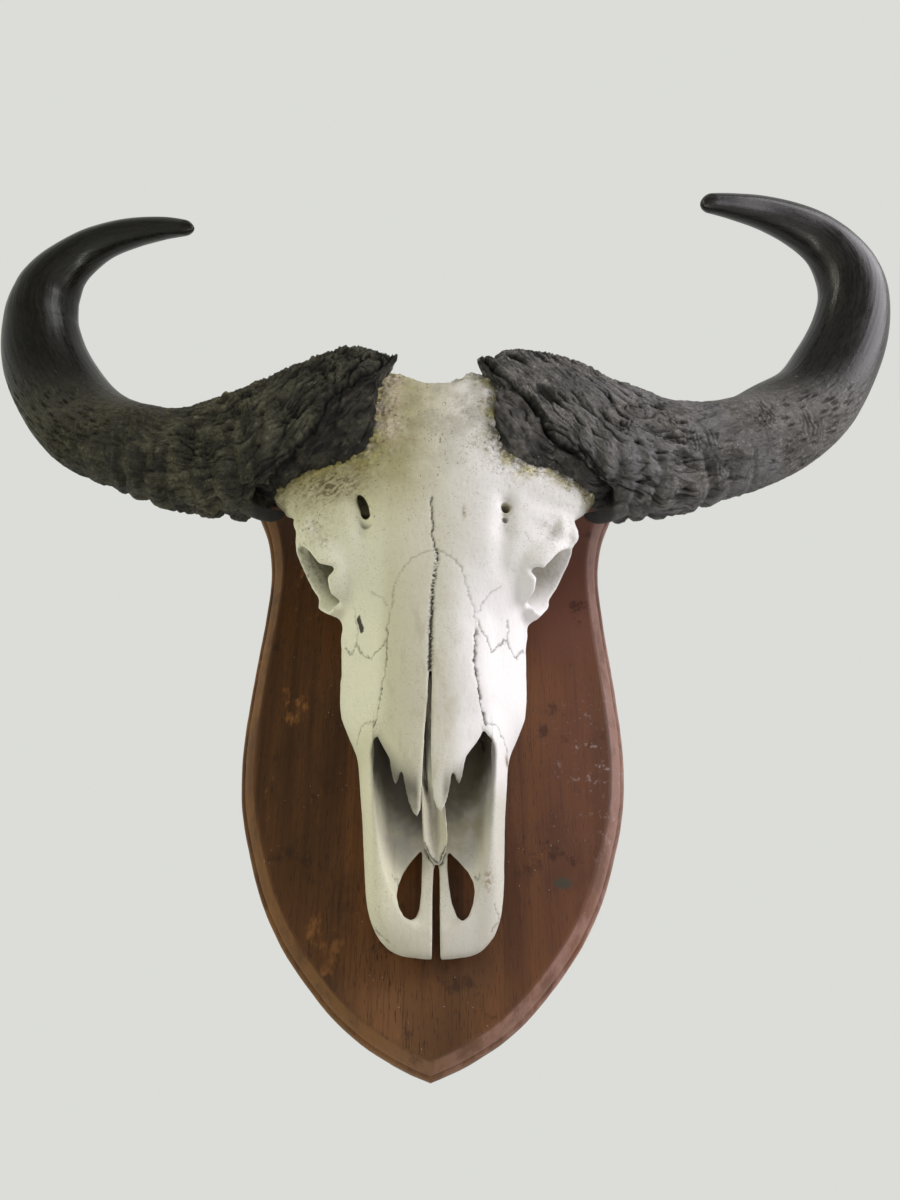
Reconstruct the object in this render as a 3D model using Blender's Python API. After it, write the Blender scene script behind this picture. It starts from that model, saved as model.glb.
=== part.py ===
"""African buffalo skull on a wooden trophy shield, life size, in metres.

+Z is up and the viewer stands on the -Y side. The origin is on the shield's
flat back, half way up, so the back lies in the plane y = 0 and faces +Y.
Everything on the shield is described by three numbers: x to the viewer's
right, z up the shield, and h, the height above the shield's front.

The skull rests on its cheek teeth and on the two processes behind them, with
the muzzle at the bottom. Names of sides are the animal's own: its left horn is
at +X.
"""

import math

import bmesh
import bpy
import numpy as np
from mathutils import Vector

# ---------------------------------------------------------------- dimensions
SHIELD_HEIGHT = 0.615
SHIELD_THICK = 0.023
SHIELD_BEVEL = 0.011        # sloping part of the moulded edge, in the plane
SHIELD_BEVEL_DROP = 0.009   # how far that slope falls from the front
SHIELD_QUIRK = 0.0014       # small square step below the slope
SHIELD_LIP = 0.004          # rounded outer member of the moulding

GAP = 0.0004                # clearance between pieces that touch

MUZZLE_TIP = -0.2165        # z of the front of the premaxillae
NAPE = 0.276                # z of the back of the skull
NASAL_TIP = -0.114
ORBIT_RADIUS = 0.0310
ORBIT_CENTRE = (0.1065, 0.094, 0.122)      # x, z, h
ORBIT_FORWARD = math.radians(33)           # the socket faces this far forward
MUZZLE_DRIFT = 0.004        # the muzzle leans this far to the viewer's right

SKULL_VOXEL = 0.0030
SKULL_FACES = 4600
HORN_ROWS, HORN_SIDES = 44, 20


# ------------------------------------------------------------------- helpers
def place(x, z, h):
    """A point x across, z up and h above the shield's front."""
    return Vector((x, -(SHIELD_THICK + h), z))


def hermite(knots, values, at):
    """Smooth curve through values (rows) at increasing knots."""
    knots = np.asarray(knots, float)
    values = np.asarray(values, float)
    if values.ndim == 1:
        values = values[:, None]
    slope = np.zeros_like(values)
    slope[1:-1] = (values[2:] - values[:-2]) / (knots[2:] - knots[:-2])[:, None]
    slope[0] = (values[1] - values[0]) / (knots[1] - knots[0])
    slope[-1] = (values[-1] - values[-2]) / (knots[-1] - knots[-2])
    at = np.atleast_1d(np.asarray(at, float))
    i = np.clip(np.searchsorted(knots, at, side="right") - 1, 0, len(knots) - 2)
    step = knots[i + 1] - knots[i]
    t = ((at - knots[i]) / step)[:, None]
    step = step[:, None]
    return (
        (2 * t**3 - 3 * t**2 + 1) * values[i]
        + (t**3 - 2 * t**2 + t) * step * slope[i]
        + (3 * t**2 - 2 * t**3) * values[i + 1]
        + (t**3 - t**2) * step * slope[i + 1]
    )


def smooth_ring(corners, count):
    """A closed smooth curve through the corners, as count points."""
    corners = np.asarray(corners, float)
    looped = np.concatenate([corners[-2:], corners, corners[:3]])
    lengths = np.linalg.norm(np.diff(looped, axis=0), axis=1) ** 0.5 + 1e-6
    knots = np.concatenate([[0], np.cumsum(lengths)])
    first, last = knots[2], knots[2 + len(corners)]
    return hermite(knots, looped, np.linspace(first, last, count, endpoint=False))


def new_object(name, mesh):
    obj = bpy.data.objects.new(name, mesh)
    bpy.context.scene.collection.objects.link(obj)
    return obj


def loft(name, rings):
    """A closed solid through rings of equally many points, with its ends closed."""
    bm = bmesh.new()
    rows = [[bm.verts.new(p) for p in ring] for ring in rings]
    n = len(rows[0])
    for a, b in zip(rows, rows[1:]):
        for i in range(n):
            j = (i + 1) % n
            bm.faces.new((a[i], a[j], b[j]))
            bm.faces.new((a[i], b[j], b[i]))
    for row in (rows[0], rows[-1]):
        centre = sum((v.co for v in row), Vector()) / n
        hub = bm.verts.new(centre)
        for i in range(n):
            bm.faces.new((row[i], row[(i + 1) % n], hub))
    bmesh.ops.recalc_face_normals(bm, faces=bm.faces)
    mesh = bpy.data.meshes.new(name)
    bm.to_mesh(mesh)
    bm.free()
    return new_object(name, mesh)


def blob(name, centre, radii, axes=None, segments=24):
    """An ellipsoid about a point, with its radii along x, z and h or given axes."""
    bm = bmesh.new()
    bmesh.ops.create_uvsphere(bm, u_segments=segments, v_segments=segments // 2, radius=1)
    x, z, h = centre
    axes = axes or ((1, 0, 0), (0, 1, 0), (0, 0, 1))
    for v in bm.verts:
        c = v.co.copy()
        offset = [sum(c[k] * radii[k] * axes[k][j] for k in range(3)) for j in range(3)]
        v.co = place(x + offset[0], z + offset[1], h + offset[2])
    bmesh.ops.recalc_face_normals(bm, faces=bm.faces)
    mesh = bpy.data.meshes.new(name)
    bm.to_mesh(mesh)
    bm.free()
    return new_object(name, mesh)


def sweep(name, path, sizes, steps=24, around=16, flat_to=(0, 0, 1), power=2.0):
    """A tube through the points of path (x, z, h). sizes are (half width, half depth)
    at each, the depth being measured towards flat_to."""
    path = np.asarray(path, float)
    sizes = np.asarray(sizes, float)
    run = np.concatenate([[0], np.cumsum(np.linalg.norm(np.diff(path, axis=0), axis=1))])
    at = np.linspace(0, run[-1], steps)
    line, size = hermite(run, path, at), np.maximum(hermite(run, sizes, at), 1e-4)
    tangent = np.gradient(line, axis=0)
    tangent /= np.linalg.norm(tangent, axis=1)[:, None]
    deep = np.asarray(flat_to, float) - tangent * (tangent @ np.asarray(flat_to, float))[:, None]
    deep /= np.linalg.norm(deep, axis=1)[:, None]
    wide = np.cross(tangent, deep)
    rings = []
    for c, w, d, s in zip(line, wide, deep, size):
        ring = []
        for k in range(around):
            a = 2 * math.pi * k / around
            u = math.copysign(abs(math.cos(a)) ** (2 / power), math.cos(a)) * s[0]
            v = math.copysign(abs(math.sin(a)) ** (2 / power), math.sin(a)) * s[1]
            ring.append(place(*(c + w * u + d * v)))
        rings.append(ring)
    return loft(name, rings)


def mirrored(obj, name):
    """The same piece on the other side of x = 0."""
    mesh = obj.data.copy()
    for v in mesh.vertices:
        v.co.x = -v.co.x
    mesh.flip_normals()
    return new_object(name, mesh)


def apply_modifiers(obj):
    graph = bpy.context.evaluated_depsgraph_get()
    mesh = bpy.data.meshes.new_from_object(obj.evaluated_get(graph))
    old = obj.data
    obj.modifiers.clear()
    obj.data = mesh
    bpy.data.meshes.remove(old)
    return obj


def joined(name, objects):
    """One object that holds several closed shells, which a voxel remesh then merges."""
    bm = bmesh.new()
    for obj in objects:
        bm.from_mesh(obj.data)
    mesh = bpy.data.meshes.new(name)
    bm.to_mesh(mesh)
    bm.free()
    for obj in objects:
        bpy.data.objects.remove(obj)
    return new_object(name, mesh)


def remesh(obj, voxel, smoothing=0, factor=0.5):
    m = obj.modifiers.new("remesh", "REMESH")
    m.mode, m.voxel_size = "VOXEL", voxel
    if smoothing:
        s = obj.modifiers.new("smooth", "SMOOTH")
        s.factor, s.iterations = factor, smoothing
    return apply_modifiers(obj)


def cut(obj, cutter, operation="DIFFERENCE"):
    cutter.hide_render = True
    cutter.display_type = "WIRE"
    m = obj.modifiers.new("cut", "BOOLEAN")
    m.operation, m.solver, m.object = operation, "EXACT", cutter
    m.use_self = False
    bpy.context.view_layer.update()
    apply_modifiers(obj)
    bpy.data.objects.remove(cutter)
    return obj


def thinned(obj, faces):
    """The same shape with about that many triangles."""
    bm = bmesh.new()
    bm.from_mesh(obj.data)
    bmesh.ops.triangulate(bm, faces=bm.faces)
    bm.to_mesh(obj.data)
    bm.free()
    m = obj.modifiers.new("fewer", "DECIMATE")
    m.ratio = min(1.0, faces / len(obj.data.polygons))
    m.use_collapse_triangulate = True
    return apply_modifiers(obj)


def material(name, colour, roughness, metallic=0.0):
    m = bpy.data.materials.new(name)
    m.use_nodes = True
    shader = m.node_tree.nodes["Principled BSDF"]
    shader.inputs["Base Color"].default_value = (*colour, 1.0)
    shader.inputs["Roughness"].default_value = roughness
    shader.inputs["Metallic"].default_value = metallic
    return m


def finish(obj, mat, smooth=True):
    obj.data.materials.clear()
    obj.data.materials.append(mat)
    if smooth:
        obj.data.shade_smooth()
        obj.data.set_sharp_from_angle(angle=math.radians(38))
    return obj


# -------------------------------------------------------------------- shield
# Half width of the shield at each height above its point, in metres.
SHIELD_SIDE = (
    (0.000, 0.0000), (0.006, 0.0158), (0.014, 0.0328), (0.030, 0.0600),
    (0.050, 0.0845), (0.080, 0.1116), (0.110, 0.1337), (0.145, 0.1524),
    (0.185, 0.1668), (0.230, 0.1785), (0.280, 0.1832), (0.330, 0.1821),
    (0.385, 0.1784), (0.430, 0.1750), (0.475, 0.1733), (0.505, 0.1758),
    (0.535, 0.1826), (0.565, 0.1945), (0.588, 0.2045),
)
SHIELD_TOP_DIP = 0.016      # the top edge falls this far between corner and crown


def shield_outline(inset):
    """The outline, moved inwards by inset, as points (x, z) from the foot round."""
    base = -SHIELD_HEIGHT / 2
    up, wide = zip(*SHIELD_SIDE)
    run = np.linspace(0, 1, 30) ** 1.15
    heights = run * up[-1]
    side = [(float(hermite(up, wide, v)[0, 0]), base + float(v)) for v in heights]
    corner_x, corner_z = side[-1]
    top = []
    for k in range(1, 9):
        t = k / 9
        # two shallow scoops with a low crown between them
        rise = (SHIELD_HEIGHT - up[-1]) * t**1.5 - SHIELD_TOP_DIP * math.sin(math.pi * min(1.0, t * 1.25)) * 0.6
        top.append((corner_x * (1 - t), corner_z + rise))
    right = side + top
    outline = right + [(0.0, base + SHIELD_HEIGHT)] + [(-x, z) for x, z in reversed(right[1:])]
    points = np.array(outline)
    after, before = np.roll(points, -1, 0), np.roll(points, 1, 0)
    e1, e2 = points - before, after - points
    e1 /= np.linalg.norm(e1, axis=1)[:, None]
    e2 /= np.linalg.norm(e2, axis=1)[:, None]
    n1 = np.stack([-e1[:, 1], e1[:, 0]], 1)
    n2 = np.stack([-e2[:, 1], e2[:, 0]], 1)
    mitre = n1 + n2
    mitre /= np.linalg.norm(mitre, axis=1)[:, None]
    stretch = 1 / np.maximum((mitre * n1).sum(1), 0.6)
    return points + mitre * stretch[:, None] * inset


def shield():
    """A board with a moulded front edge: a slope, a small square step and a rounded lip."""
    lip = SHIELD_LIP
    steps = [(0.0, 0.0), (0.0, SHIELD_THICK - SHIELD_BEVEL_DROP - SHIELD_QUIRK - lip)]
    steps += [
        (lip * (1 - math.cos(a)), steps[1][1] + lip * math.sin(a))
        for a in (math.radians(v) for v in (30, 60, 90))
    ]
    steps += [
        (lip, SHIELD_THICK - SHIELD_BEVEL_DROP),
        (lip + SHIELD_BEVEL, SHIELD_THICK),
    ]
    steps = [s for i, s in enumerate(steps) if i == 0 or math.dist(s, steps[i - 1]) > 1e-5]
    bm = bmesh.new()
    rows = []
    for inset, depth in steps:
        rows.append([bm.verts.new((x, -depth, z)) for x, z in shield_outline(inset)])
    n = len(rows[0])
    for a, b in zip(rows, rows[1:]):
        for i in range(n):
            bm.faces.new((a[i], a[(i + 1) % n], b[(i + 1) % n], b[i]))
    bm.faces.new(rows[0])
    bm.faces.new(rows[-1])
    bmesh.ops.recalc_face_normals(bm, faces=bm.faces)
    bmesh.ops.triangulate(bm, faces=[f for f in bm.faces if len(f.verts) > 4])
    mesh = bpy.data.meshes.new("plaque")
    bm.to_mesh(mesh)
    bm.free()
    return new_object("plaque", mesh)


# --------------------------------------------------------------------- skull
# Cross sections of the face and braincase. For each z: seven points (x, h) down
# one side, from the middle of the roof to the middle of the palate or base:
# roof, shoulder, brow or upper wall, side, lower side, tooth line, floor.
SECTIONS = (
    (-0.2165, (0, .0265), (.006, .0260), (.010, .0245), (.012, .0215), (.010, .0180), (.006, .0165), (0, .0160)),
    (-0.2140, (0, .0290), (.014, .0290), (.026, .0270), (.032, .0225), (.026, .0160), (.014, .0140), (0, .0140)),
    (-0.2040, (0, .0320), (.022, .0325), (.039, .0310), (.046, .0245), (.040, .0150), (.020, .0130), (0, .0135)),
    (-0.1880, (0, .0340), (.030, .0360), (.047, .0355), (.055, .0265), (.048, .0155), (.026, .0140), (0, .0150)),
    (-0.1650, (0, .0360), (.034, .0410), (.050, .0420), (.0595, .0300), (.053, .0175), (.030, .0160), (0, .0170)),
    (-0.1350, (0, .0420), (.036, .0520), (.051, .0520), (.0610, .0360), (.055, .0200), (.034, .0180), (0, .0190)),
    (-0.1050, (0, .0540), (.038, .0640), (.052, .0640), (.0625, .0420), (.057, .0220), (.036, .0200), (0, .0210)),
    (-0.0750, (0, .0720), (.040, .0800), (.053, .0790), (.0650, .0500), (.060, .0240), (.040, .0210), (0, .0230)),
    (-0.0480, (0, .1000), (.040, .1020), (.0530, .0960), (.0670, .0600), (.0660, .0300), (.048, .0230), (0, .0250)),
    (-0.0300, (0, .1172), (.038, .1075), (.0560, .0960), (.0730, .0620), (.0750, .0370), (.060, .0240), (0, .0265)),
    (-0.0100, (0, .1288), (.039, .1192), (.0590, .1000), (.0810, .0640), (.0835, .0410), (.070, .0250), (0, .0280)),
    (0.0250, (0, .1430), (.0395, .1340), (.0620, .1120), (.0830, .0740), (.0850, .0440), (.073, .0260), (0, .0300)),
    (0.0550, (0, .1545), (.0420, .1470), (.0670, .1270), (.0830, .0880), (.0830, .0500), (.070, .0290), (0, .0330)),
    (0.0850, (0, .1655), (.0470, .1610), (.0800, .1460), (.0820, .1000), (.0740, .0560), (.060, .0360), (0, .0380)),
    (0.1150, (0, .1755), (.0520, .1730), (.0980, .1550), (.0820, .1130), (.0660, .0680), (.048, .0470), (0, .0450)),
    (0.1450, (0, .1850), (.0560, .1820), (.0980, .1630), (.0720, .1230), (.0600, .0830), (.044, .0600), (0, .0520)),
    (0.1800, (0, .1930), (.0570, .1900), (.0860, .1740), (.0680, .1250), (.0600, .0850), (.042, .0600), (0, .0540)),
    (0.2200, (0, .1990), (.0560, .1970), (.0840, .1800), (.0700, .1250), (.0620, .0880), (.042, .0620), (0, .0560)),
    (0.2500, (0, .1985), (.0530, .1970), (.0760, .1780), (.0700, .1220), (.0600, .0880), (.040, .0640), (0, .0580)),
    (0.2680, (0, .1900), (.0480, .1880), (.0660, .1680), (.0640, .1200), (.0530, .0900), (.034, .0680), (0, .0620)),
    (0.2760, (0, .1720), (.0360, .1700), (.0500, .1560), (.0500, .1220), (.0420, .0980), (.028, .0780), (0, .0740)),
)


def drift(z):
    """Sideways lean of the muzzle."""
    t = min(1.0, max(0.0, (0.02 - z) / (0.02 - MUZZLE_TIP)))
    return MUZZLE_DRIFT * t * t


def body_rings(rows, count, sections=SECTIONS):
    zs = [s[0] for s in sections]
    table = np.array([[c for p in s[1:] for c in p] for s in sections])
    share = np.linspace(0, 1, rows)
    at = zs[0] + (zs[-1] - zs[0]) * (0.5 - 0.5 * np.cos(math.pi * share)) * 0.35 + (zs[-1] - zs[0]) * share * 0.65
    rings = []
    for z, row in zip(at, hermite(zs, table, at)):
        half = row.reshape(-1, 2)
        full = np.concatenate([half, half[-2:0:-1] * (-1, 1)])
        ring = smooth_ring(full, count)
        rings.append([place(x + drift(z), z, h) for x, h in ring])
    return rings


def orbit_frame():
    """Centre and axes of the right-hand (+X) socket: outwards, up along the rim, and
    away from the shield."""
    out = (math.cos(ORBIT_FORWARD), -math.sin(ORBIT_FORWARD), 0.0)
    along = (math.sin(ORBIT_FORWARD), math.cos(ORBIT_FORWARD), 0.0)
    return ORBIT_CENTRE, out, along, (0.0, 0.0, 1.0)


def socket_rings(profile, count=28, squash=1.0):
    """Rings about the socket's axis. profile rows are (distance out, radius)."""
    (cx, cz, ch), out, along, rise = orbit_frame()
    rings = []
    for d, r in profile:
        ring = []
        for k in range(count):
            a = 2 * math.pi * k / count
            u, v = math.cos(a) * r, math.sin(a) * r * squash
            ring.append(place(
                cx + out[0] * d + along[0] * u,
                cz + out[1] * d + along[1] * u,
                ch + v,
            ))
        rings.append(ring)
    return rings


def teeth(side):
    """Six cheek teeth, worn flat at the shield."""
    lengths = (0.016, 0.018, 0.018, 0.025, 0.028, 0.030)
    z, rows = -0.036, []
    for k, length in enumerate(lengths):
        mid = z + length / 2
        bend = 0.0585 + 0.007 * math.sin(math.pi * (mid + 0.036) / 0.15)
        half = 0.0085 + 0.0006 * k
        rings = []
        for h, grow in ((GAP, 0.90), (0.006, 1.0), (0.018, 0.98), (0.036, 0.9)):
            ring = []
            for j in range(20):
                a = 2 * math.pi * j / 20
                u = math.copysign(abs(math.cos(a)) ** 0.55, math.cos(a)) * half * grow
                v = math.copysign(abs(math.sin(a)) ** 0.55, math.sin(a)) * (length * 0.5 + 0.0005) * grow
                ring.append(place(side * (bend + u), mid + v, h))
            rings.append(ring)
        rows.append(loft("tooth", rings))
        z += length
    return rows


def skull_shells():
    """The overlapping closed shells that make up the bone."""
    shells = [loft("body", body_rings(110, 56))]
    # sockets, cheek arches, horn cores, tooth rows and the base of the skull
    rim = socket_rings((
        (-0.050, 0.034), (-0.030, 0.040), (-0.012, 0.0400), (-0.003, 0.0375), (0.0015, 0.0350), (0.0030, 0.0325),
    ), squash=0.98)
    shells.append(loft("socket", rim))
    shells.append(mirrored(shells[-1], "socket"))
    arch = sweep(
        "arch",
        ((.108, .105, .088), (.1140, .140, .080), (.1100, .170, .077), (.0980, .200, .082), (.0720, .222, .088)),
        ((.006, .013), (.0050, .0115), (.0048, .0100), (.0065, .0110), (.012, .016)),
    )
    bar = sweep(
        "bar",
        ((.1080, .128, .160), (.1195, .130, .140), (.1225, .132, .115), (.1150, .134, .085)),
        ((.010, .012), (.0060, .0080), (.0055, .0080), (.0070, .010)), flat_to=(0, 1, 0),
    )
    brow = sweep(
        "brow",
        ((.050, .150, .168), (.085, .143, .161), (.112, .137, .151), (.123, .130, .145)),
        ((.024, .012), (.022, .012), (.0170, .0100), (.0090, .0070)),
    )
    pedicle = sweep(
        "pedicle",
        ((.050, .176, .166), (.090, .170, .158), (.120, .1665, .149), (.137, .168, .143), (.149, .168, .139)),
        ((.036, .022), (.031, .022), (.0265, .020), (.0190, .015), (.0080, .009)),
    )
    core = sweep(
        "core",
        ((.040, .212, .165), (.080, .214, .163), (.115, .214, .155), (.145, .214, .145)),
        ((.050, .030), (.050, .030), (.044, .028), (.036, .022)),
    )
    cheek = sweep(
        "cheek",
        ((.073, .010, .060), (.076, .035, .066), (.079, .060, .080), (.088, .082, .090)),
        ((.008, .016), (.008, .016), (.008, .016), (.008, .012)),
    )
    condyle = blob("condyle", (.022, .272, .060), (.013, .016, .022))
    sill = blob("sill", (.0930, .0830, .1040), (.0190, .0175, .0220))
    shoulder = sweep(
        "shoulder",
        ((.016, .262, .183), (.032, .2655, .1855), (.048, .2650, .1850), (.062, .258, .1790)),
        ((.0120, .0100), (.0145, .0110), (.0150, .0110), (.0120, .0090)),
    )
    process = sweep(
        "process",
        ((.052, .250, .085), (.054, .252, .050), (.052, .250, .020), (.050, .247, GAP + .004)),
        ((.010, .012), (.008, .011), (.006, .008), (.004, .005)), flat_to=(0, 1, 0),
    )
    bulla = blob("bulla", (.034, .214, .048), (.014, .022, .020))
    wing = sweep(
        "wing",
        ((.034, .090, .045), (.032, .115, .040), (.028, .140, .040), (.022, .165, .050)),
        ((.0045, .016), (.0035, .018), (.0035, .016), (.006, .012)),
    )
    crest = sweep(
        "crest",
        ((.000, .270, .158), (.030, .270, .154), (.055, .262, .138), (.064, .250, .112)),
        ((.009, .008), (.009, .008), (.009, .008), (.008, .008)),
    )
    for piece in (arch, bar, brow, pedicle, core, cheek, condyle, sill, shoulder, process, bulla, wing, crest):
        shells += [piece, mirrored(piece, piece.name)]
    shells.append(sweep(
        "base",
        ((0, .130, .048), (0, .180, .050), (0, .230, .052), (0, .262, .058)),
        ((.016, .014), (.018, .014), (.020, .014), (.020, .012)),
    ))
    for side in (-1, 1):
        shells += teeth(side)
    return shells


def nose_cutter():
    """The opening above the palate, between the two bars and under the nasal bones."""
    rows = (
        # z, half width at floor, half width at top, floor h, top h
        (-0.1930, .016, .020, .0310, .060),
        (-0.1800, .030, .036, .0300, .085),
        (-0.1500, .038, .046, .0300, .095),
        (-0.1200, .042, .0490, .0320, .110),
        (-0.0900, .044, .0505, .0330, .120),
        (-0.0600, .045, .0510, .0340, .120),
        (-0.0480, .045, .0500, .0345, .110),
        (-0.0380, .046, .0480, .0350, .1080),
        (-0.0100, .046, .0440, .0360, .1130),
        (0.0300, .040, .0360, .0380, .1200),
        (0.0650, .024, .0200, .0480, .1180),
    )
    at = np.linspace(rows[0][0], rows[-1][0], 40)
    rings = []
    for (z, w0, w1, h0, h1) in ((z, *r) for z, r in zip(at, hermite([r[0] for r in rows], [r[1:] for r in rows], at))):
        mid = (h0 + h1) / 2
        full = [
            (0, h1), (w1 * .7, h1 - .002), (w1, h1 - (h1 - mid) * .45), (max(w0, w1) * 1.03, mid), (w0, h0 + (mid - h0) * .3), (w0 * .75, h0 + .001), (0, h0),
        ]
        full = full + [(-x, h) for x, h in full[-2:0:-1]]
        rings.append([place(x + drift(z), z, h) for x, h in smooth_ring(full, 40)])
    return loft("nose", rings)


def fissure_cutter(side):
    """The hole in the palate beside the midline."""
    top, foot, depth = -0.120, -0.187, (.004, .050)
    count = 26
    ring = []
    for k in range(count):
        a = 2 * math.pi * k / count
        t = (1 - math.cos(a)) / 2                      # 0 at the top, 1 at the foot
        z = top + (foot - top) * t
        wide = 0.0118 * (math.sin(math.pi * t**0.78)) ** 0.8 if 0 < t < 1 else 0.0
        centre = 0.0130 + 0.0105 * math.sin(math.pi * min(1, t * 1.0)) + 0.0020 * t
        ring.append((centre + math.copysign(wide, math.sin(a)), z))
    rings = [[place(side * x + drift(z), z, h) for x, z in ring] for h in depth]
    return loft("fissure", rings)


def gap_cutter():
    """The slit between the two premaxillae."""
    rings = []
    for h in (.004, .060):
        rings.append([
            place(drift(-0.2) + dx, z, h)
            for dx, z in ((-.0045, -0.225), (.0055, -0.225), (.0040, -0.185), (.0035, -0.150), (0.0005, -0.136), (-.0035, -0.150), (-.0040, -0.185))
        ])
    return loft("gap", rings)


def nasals():
    """The two nasal bones: a thin arched roof that reaches forward over the opening."""
    shells = []
    for side in (-1, 1):
        tip = -0.003
        rings = []
        for z, inner, outer, h_in, h_out, thick in (
            (-0.115, .0080, .0125, .0855, .0850, .0046),
            (-0.106, .0050, .0160, .0895, .0885, .0052),
            (-0.092, .0035, .0195, .0960, .0945, .0056),
            (-0.078, .0030, .0225, .1015, .0990, .0060),
            (-0.060, .0025, .0370, .1080, .1010, .0062),
            (-0.040, .0020, .0445, .1150, .1030, .0062),
            (-0.015, .0010, .0420, .1270, .1150, .0060),
            (0.020, .0000, .0400, .1400, .1300, .0080),
        ):
            lean = tip * max(0.0, min(1.0, (0.0 - z) / 0.114))
            ring = []
            for k in range(9):
                t = k / 8
                x = inner + (outer - inner) * t
                h = h_in + (h_out - h_in) * (t**2.2)
                ring.append((x, h))
            under = [(x, h - thick) for x, h in reversed(ring)]
            rings.append([place(side * x + lean, z, h) for x, h in ring + under])
        shells.append(loft("nasal", rings))
        shells.append(sweep(
            "spike",
            ((side * .0320, -.050, .0985), (side * .0290 - .001, -.070, .0945), (side * .0255 - .001, -.0840, .0920), (side * .0230 - .001, -.0945, .0905)),
            ((.0100, .0036), (.0070, .0034), (.0045, .0032), (.0022, .0026)), around=10,
        ))
    return shells


def vomer():
    """The gutter-shaped plate that stands in the middle of the nose."""
    return sweep(
        "vomer",
        ((.0040, -.1400, .0365), (.0030, -.120, .0390), (.0005, -.080, .0440), (0, -.030, .0520), (0, .030, .0600)),
        ((.0015, .0040), (.0060, .0070), (.0075, .0110), (.0065, .0180), (.0060, .0240)),
    )


def skull():
    bone = joined("skull", skull_shells())
    remesh(bone, SKULL_VOXEL, smoothing=6)
    (cx, cz, ch), out, along, rise = orbit_frame()
    socket = loft("socket", socket_rings((
        (-0.058, 0.010), (-0.050, 0.020), (-0.034, 0.0275), (-0.016, 0.0300), (0.0, 0.0312), (0.010, 0.0330), (0.022, 0.0360),
    ), squash=0.97))
    cut(bone, mirrored(socket, "socket"))
    cut(bone, socket)
    cut(bone, nose_cutter())
    # choanae, foramen magnum, supraorbital and palatine holes
    cut(bone, sweep(
        "choana",
        ((0, .085, .022), (0, .120, .030), (0, .150, .034)),
        ((.024, .020), (.022, .016), (.014, .008)),
    ))
    cut(bone, sweep("magnum", ((0, .300, .084), (0, .262, .088), (0, .235, .095)), ((.017, .015), (.015, .014), (.008, .008)), flat_to=(0, 0, 1)))
    for side in (-1, 1):
        cut(bone, sweep(
            "brow_hole",
            ((side * .0640, .1360, .190), (side * .0600, .1290, .174), (side * .0575, .1240, .160)),
            ((.0035, .0060), (.0034, .0055), (.0030, .0050)), flat_to=(0, 1, 0),
        ))
    bone = joined("skull", [bone, vomer()] + nasals())
    remesh(bone, 0.0022, smoothing=1)
    for side in (-1, 1):
        cut(bone, fissure_cutter(side))
    cut(bone, gap_cutter())
    return bone


# --------------------------------------------------------------------- horns
# Stations along a horn: x, z and h of its middle, then its breadth, its thickness
# and the angle that the breadth makes with the z axis. The first few lie on the
# forehead as the boss; past them the breadth turns half a circle up to the tip.
HORN_LEFT = (
    (.0400, .2855, .1980, .0140, .0090, -24),
    (.0455, .2800, .1960, .0270, .0150, -12),
    (.0505, .2670, .1935, .0580, .0210, -4),
    (.0545, .2500, .1925, .0960, .0280, -1),
    (.0620, .2475, .1890, .1180, .0360, -1),
    (.0840, .2480, .1800, .1350, .0490, 0),
    (.1130, .2470, .1680, .1420, .0660, 0),
    (.1410, .2380, .1580, .1440, .0780, 2),
    (.1660, .2280, .1480, .1470, .0850, 3),
    (.1970, .2250, .1390, .1340, .0870, 1),
    (.2300, .2280, .1320, .1180, .0850, -7),
    (.2690, .2395, .1270, .1030, .0820, -15),
    (.3100, .2580, .1180, .0980, .0790, -26),
    (.3480, .2830, .1140, .0990, .0770, -35),
    (.3840, .3110, .1170, .0910, .0740, -44),
    (.4110, .3500, .1260, .0850, .0700, -60),
    (.4290, .3870, .1380, .0795, .0660, -76),
    (.4360, .4220, .1520, .0730, .0610, -94),
    (.4310, .4460, .1630, .0670, .0560, -114),
    (.4160, .4650, .1750, .0560, .0510, -134),
    (.3970, .4770, .1850, .0470, .0460, -154),
    (.3700, .4820, .1970, .0400, .0405, -174),
    (.3350, .4810, .2110, .0310, .0330, -186),
    (.2990, .4730, .2250, .0240, .0250, -194),
    (.2730, .4660, .2340, .0188, .0190, -198),
    (.2620, .4605, .2380, .0150, .0150, -198),
)
HORN_RIGHT = (
    (.0360, .2890, .1980, .0150, .0090, -26),
    (.0425, .2815, .1960, .0290, .0150, -14),
    (.0490, .2690, .1940, .0600, .0210, -6),
    (.0535, .2510, .1925, .0980, .0280, -2),
    (.0610, .2475, .1890, .1200, .0360, -2),
    (.0830, .2480, .1800, .1370, .0500, -3),
    (.1170, .2420, .1680, .1360, .0660, -3),
    (.1450, .2320, .1580, .1380, .0780, -1),
    (.1700, .2215, .1480, .1360, .0850, 1),
    (.2040, .2185, .1390, .1220, .0850, -3),
    (.2360, .2210, .1320, .1050, .0830, -9),
    (.2640, .2285, .1280, .0940, .0810, -17),
    (.3070, .2500, .1180, .0900, .0780, -30),
    (.3440, .2730, .1140, .0930, .0750, -38),
    (.3740, .3060, .1170, .0910, .0720, -50),
    (.3990, .3490, .1260, .0850, .0680, -68),
    (.4080, .3900, .1400, .0750, .0620, -90),
    (.4020, .4160, .1550, .0650, .0560, -110),
    (.3880, .4320, .1680, .0520, .0490, -130),
    (.3660, .4450, .1800, .0400, .0420, -156),
    (.3410, .4490, .1930, .0320, .0355, -174),
    (.3070, .4470, .2070, .0260, .0300, -188),
    (.2700, .4380, .2210, .0200, .0222, -198),
    (.2440, .4270, .2310, .0146, .0150, -205),
    (.2350, .4215, .2350, .0098, .0102, -206),
)


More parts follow.
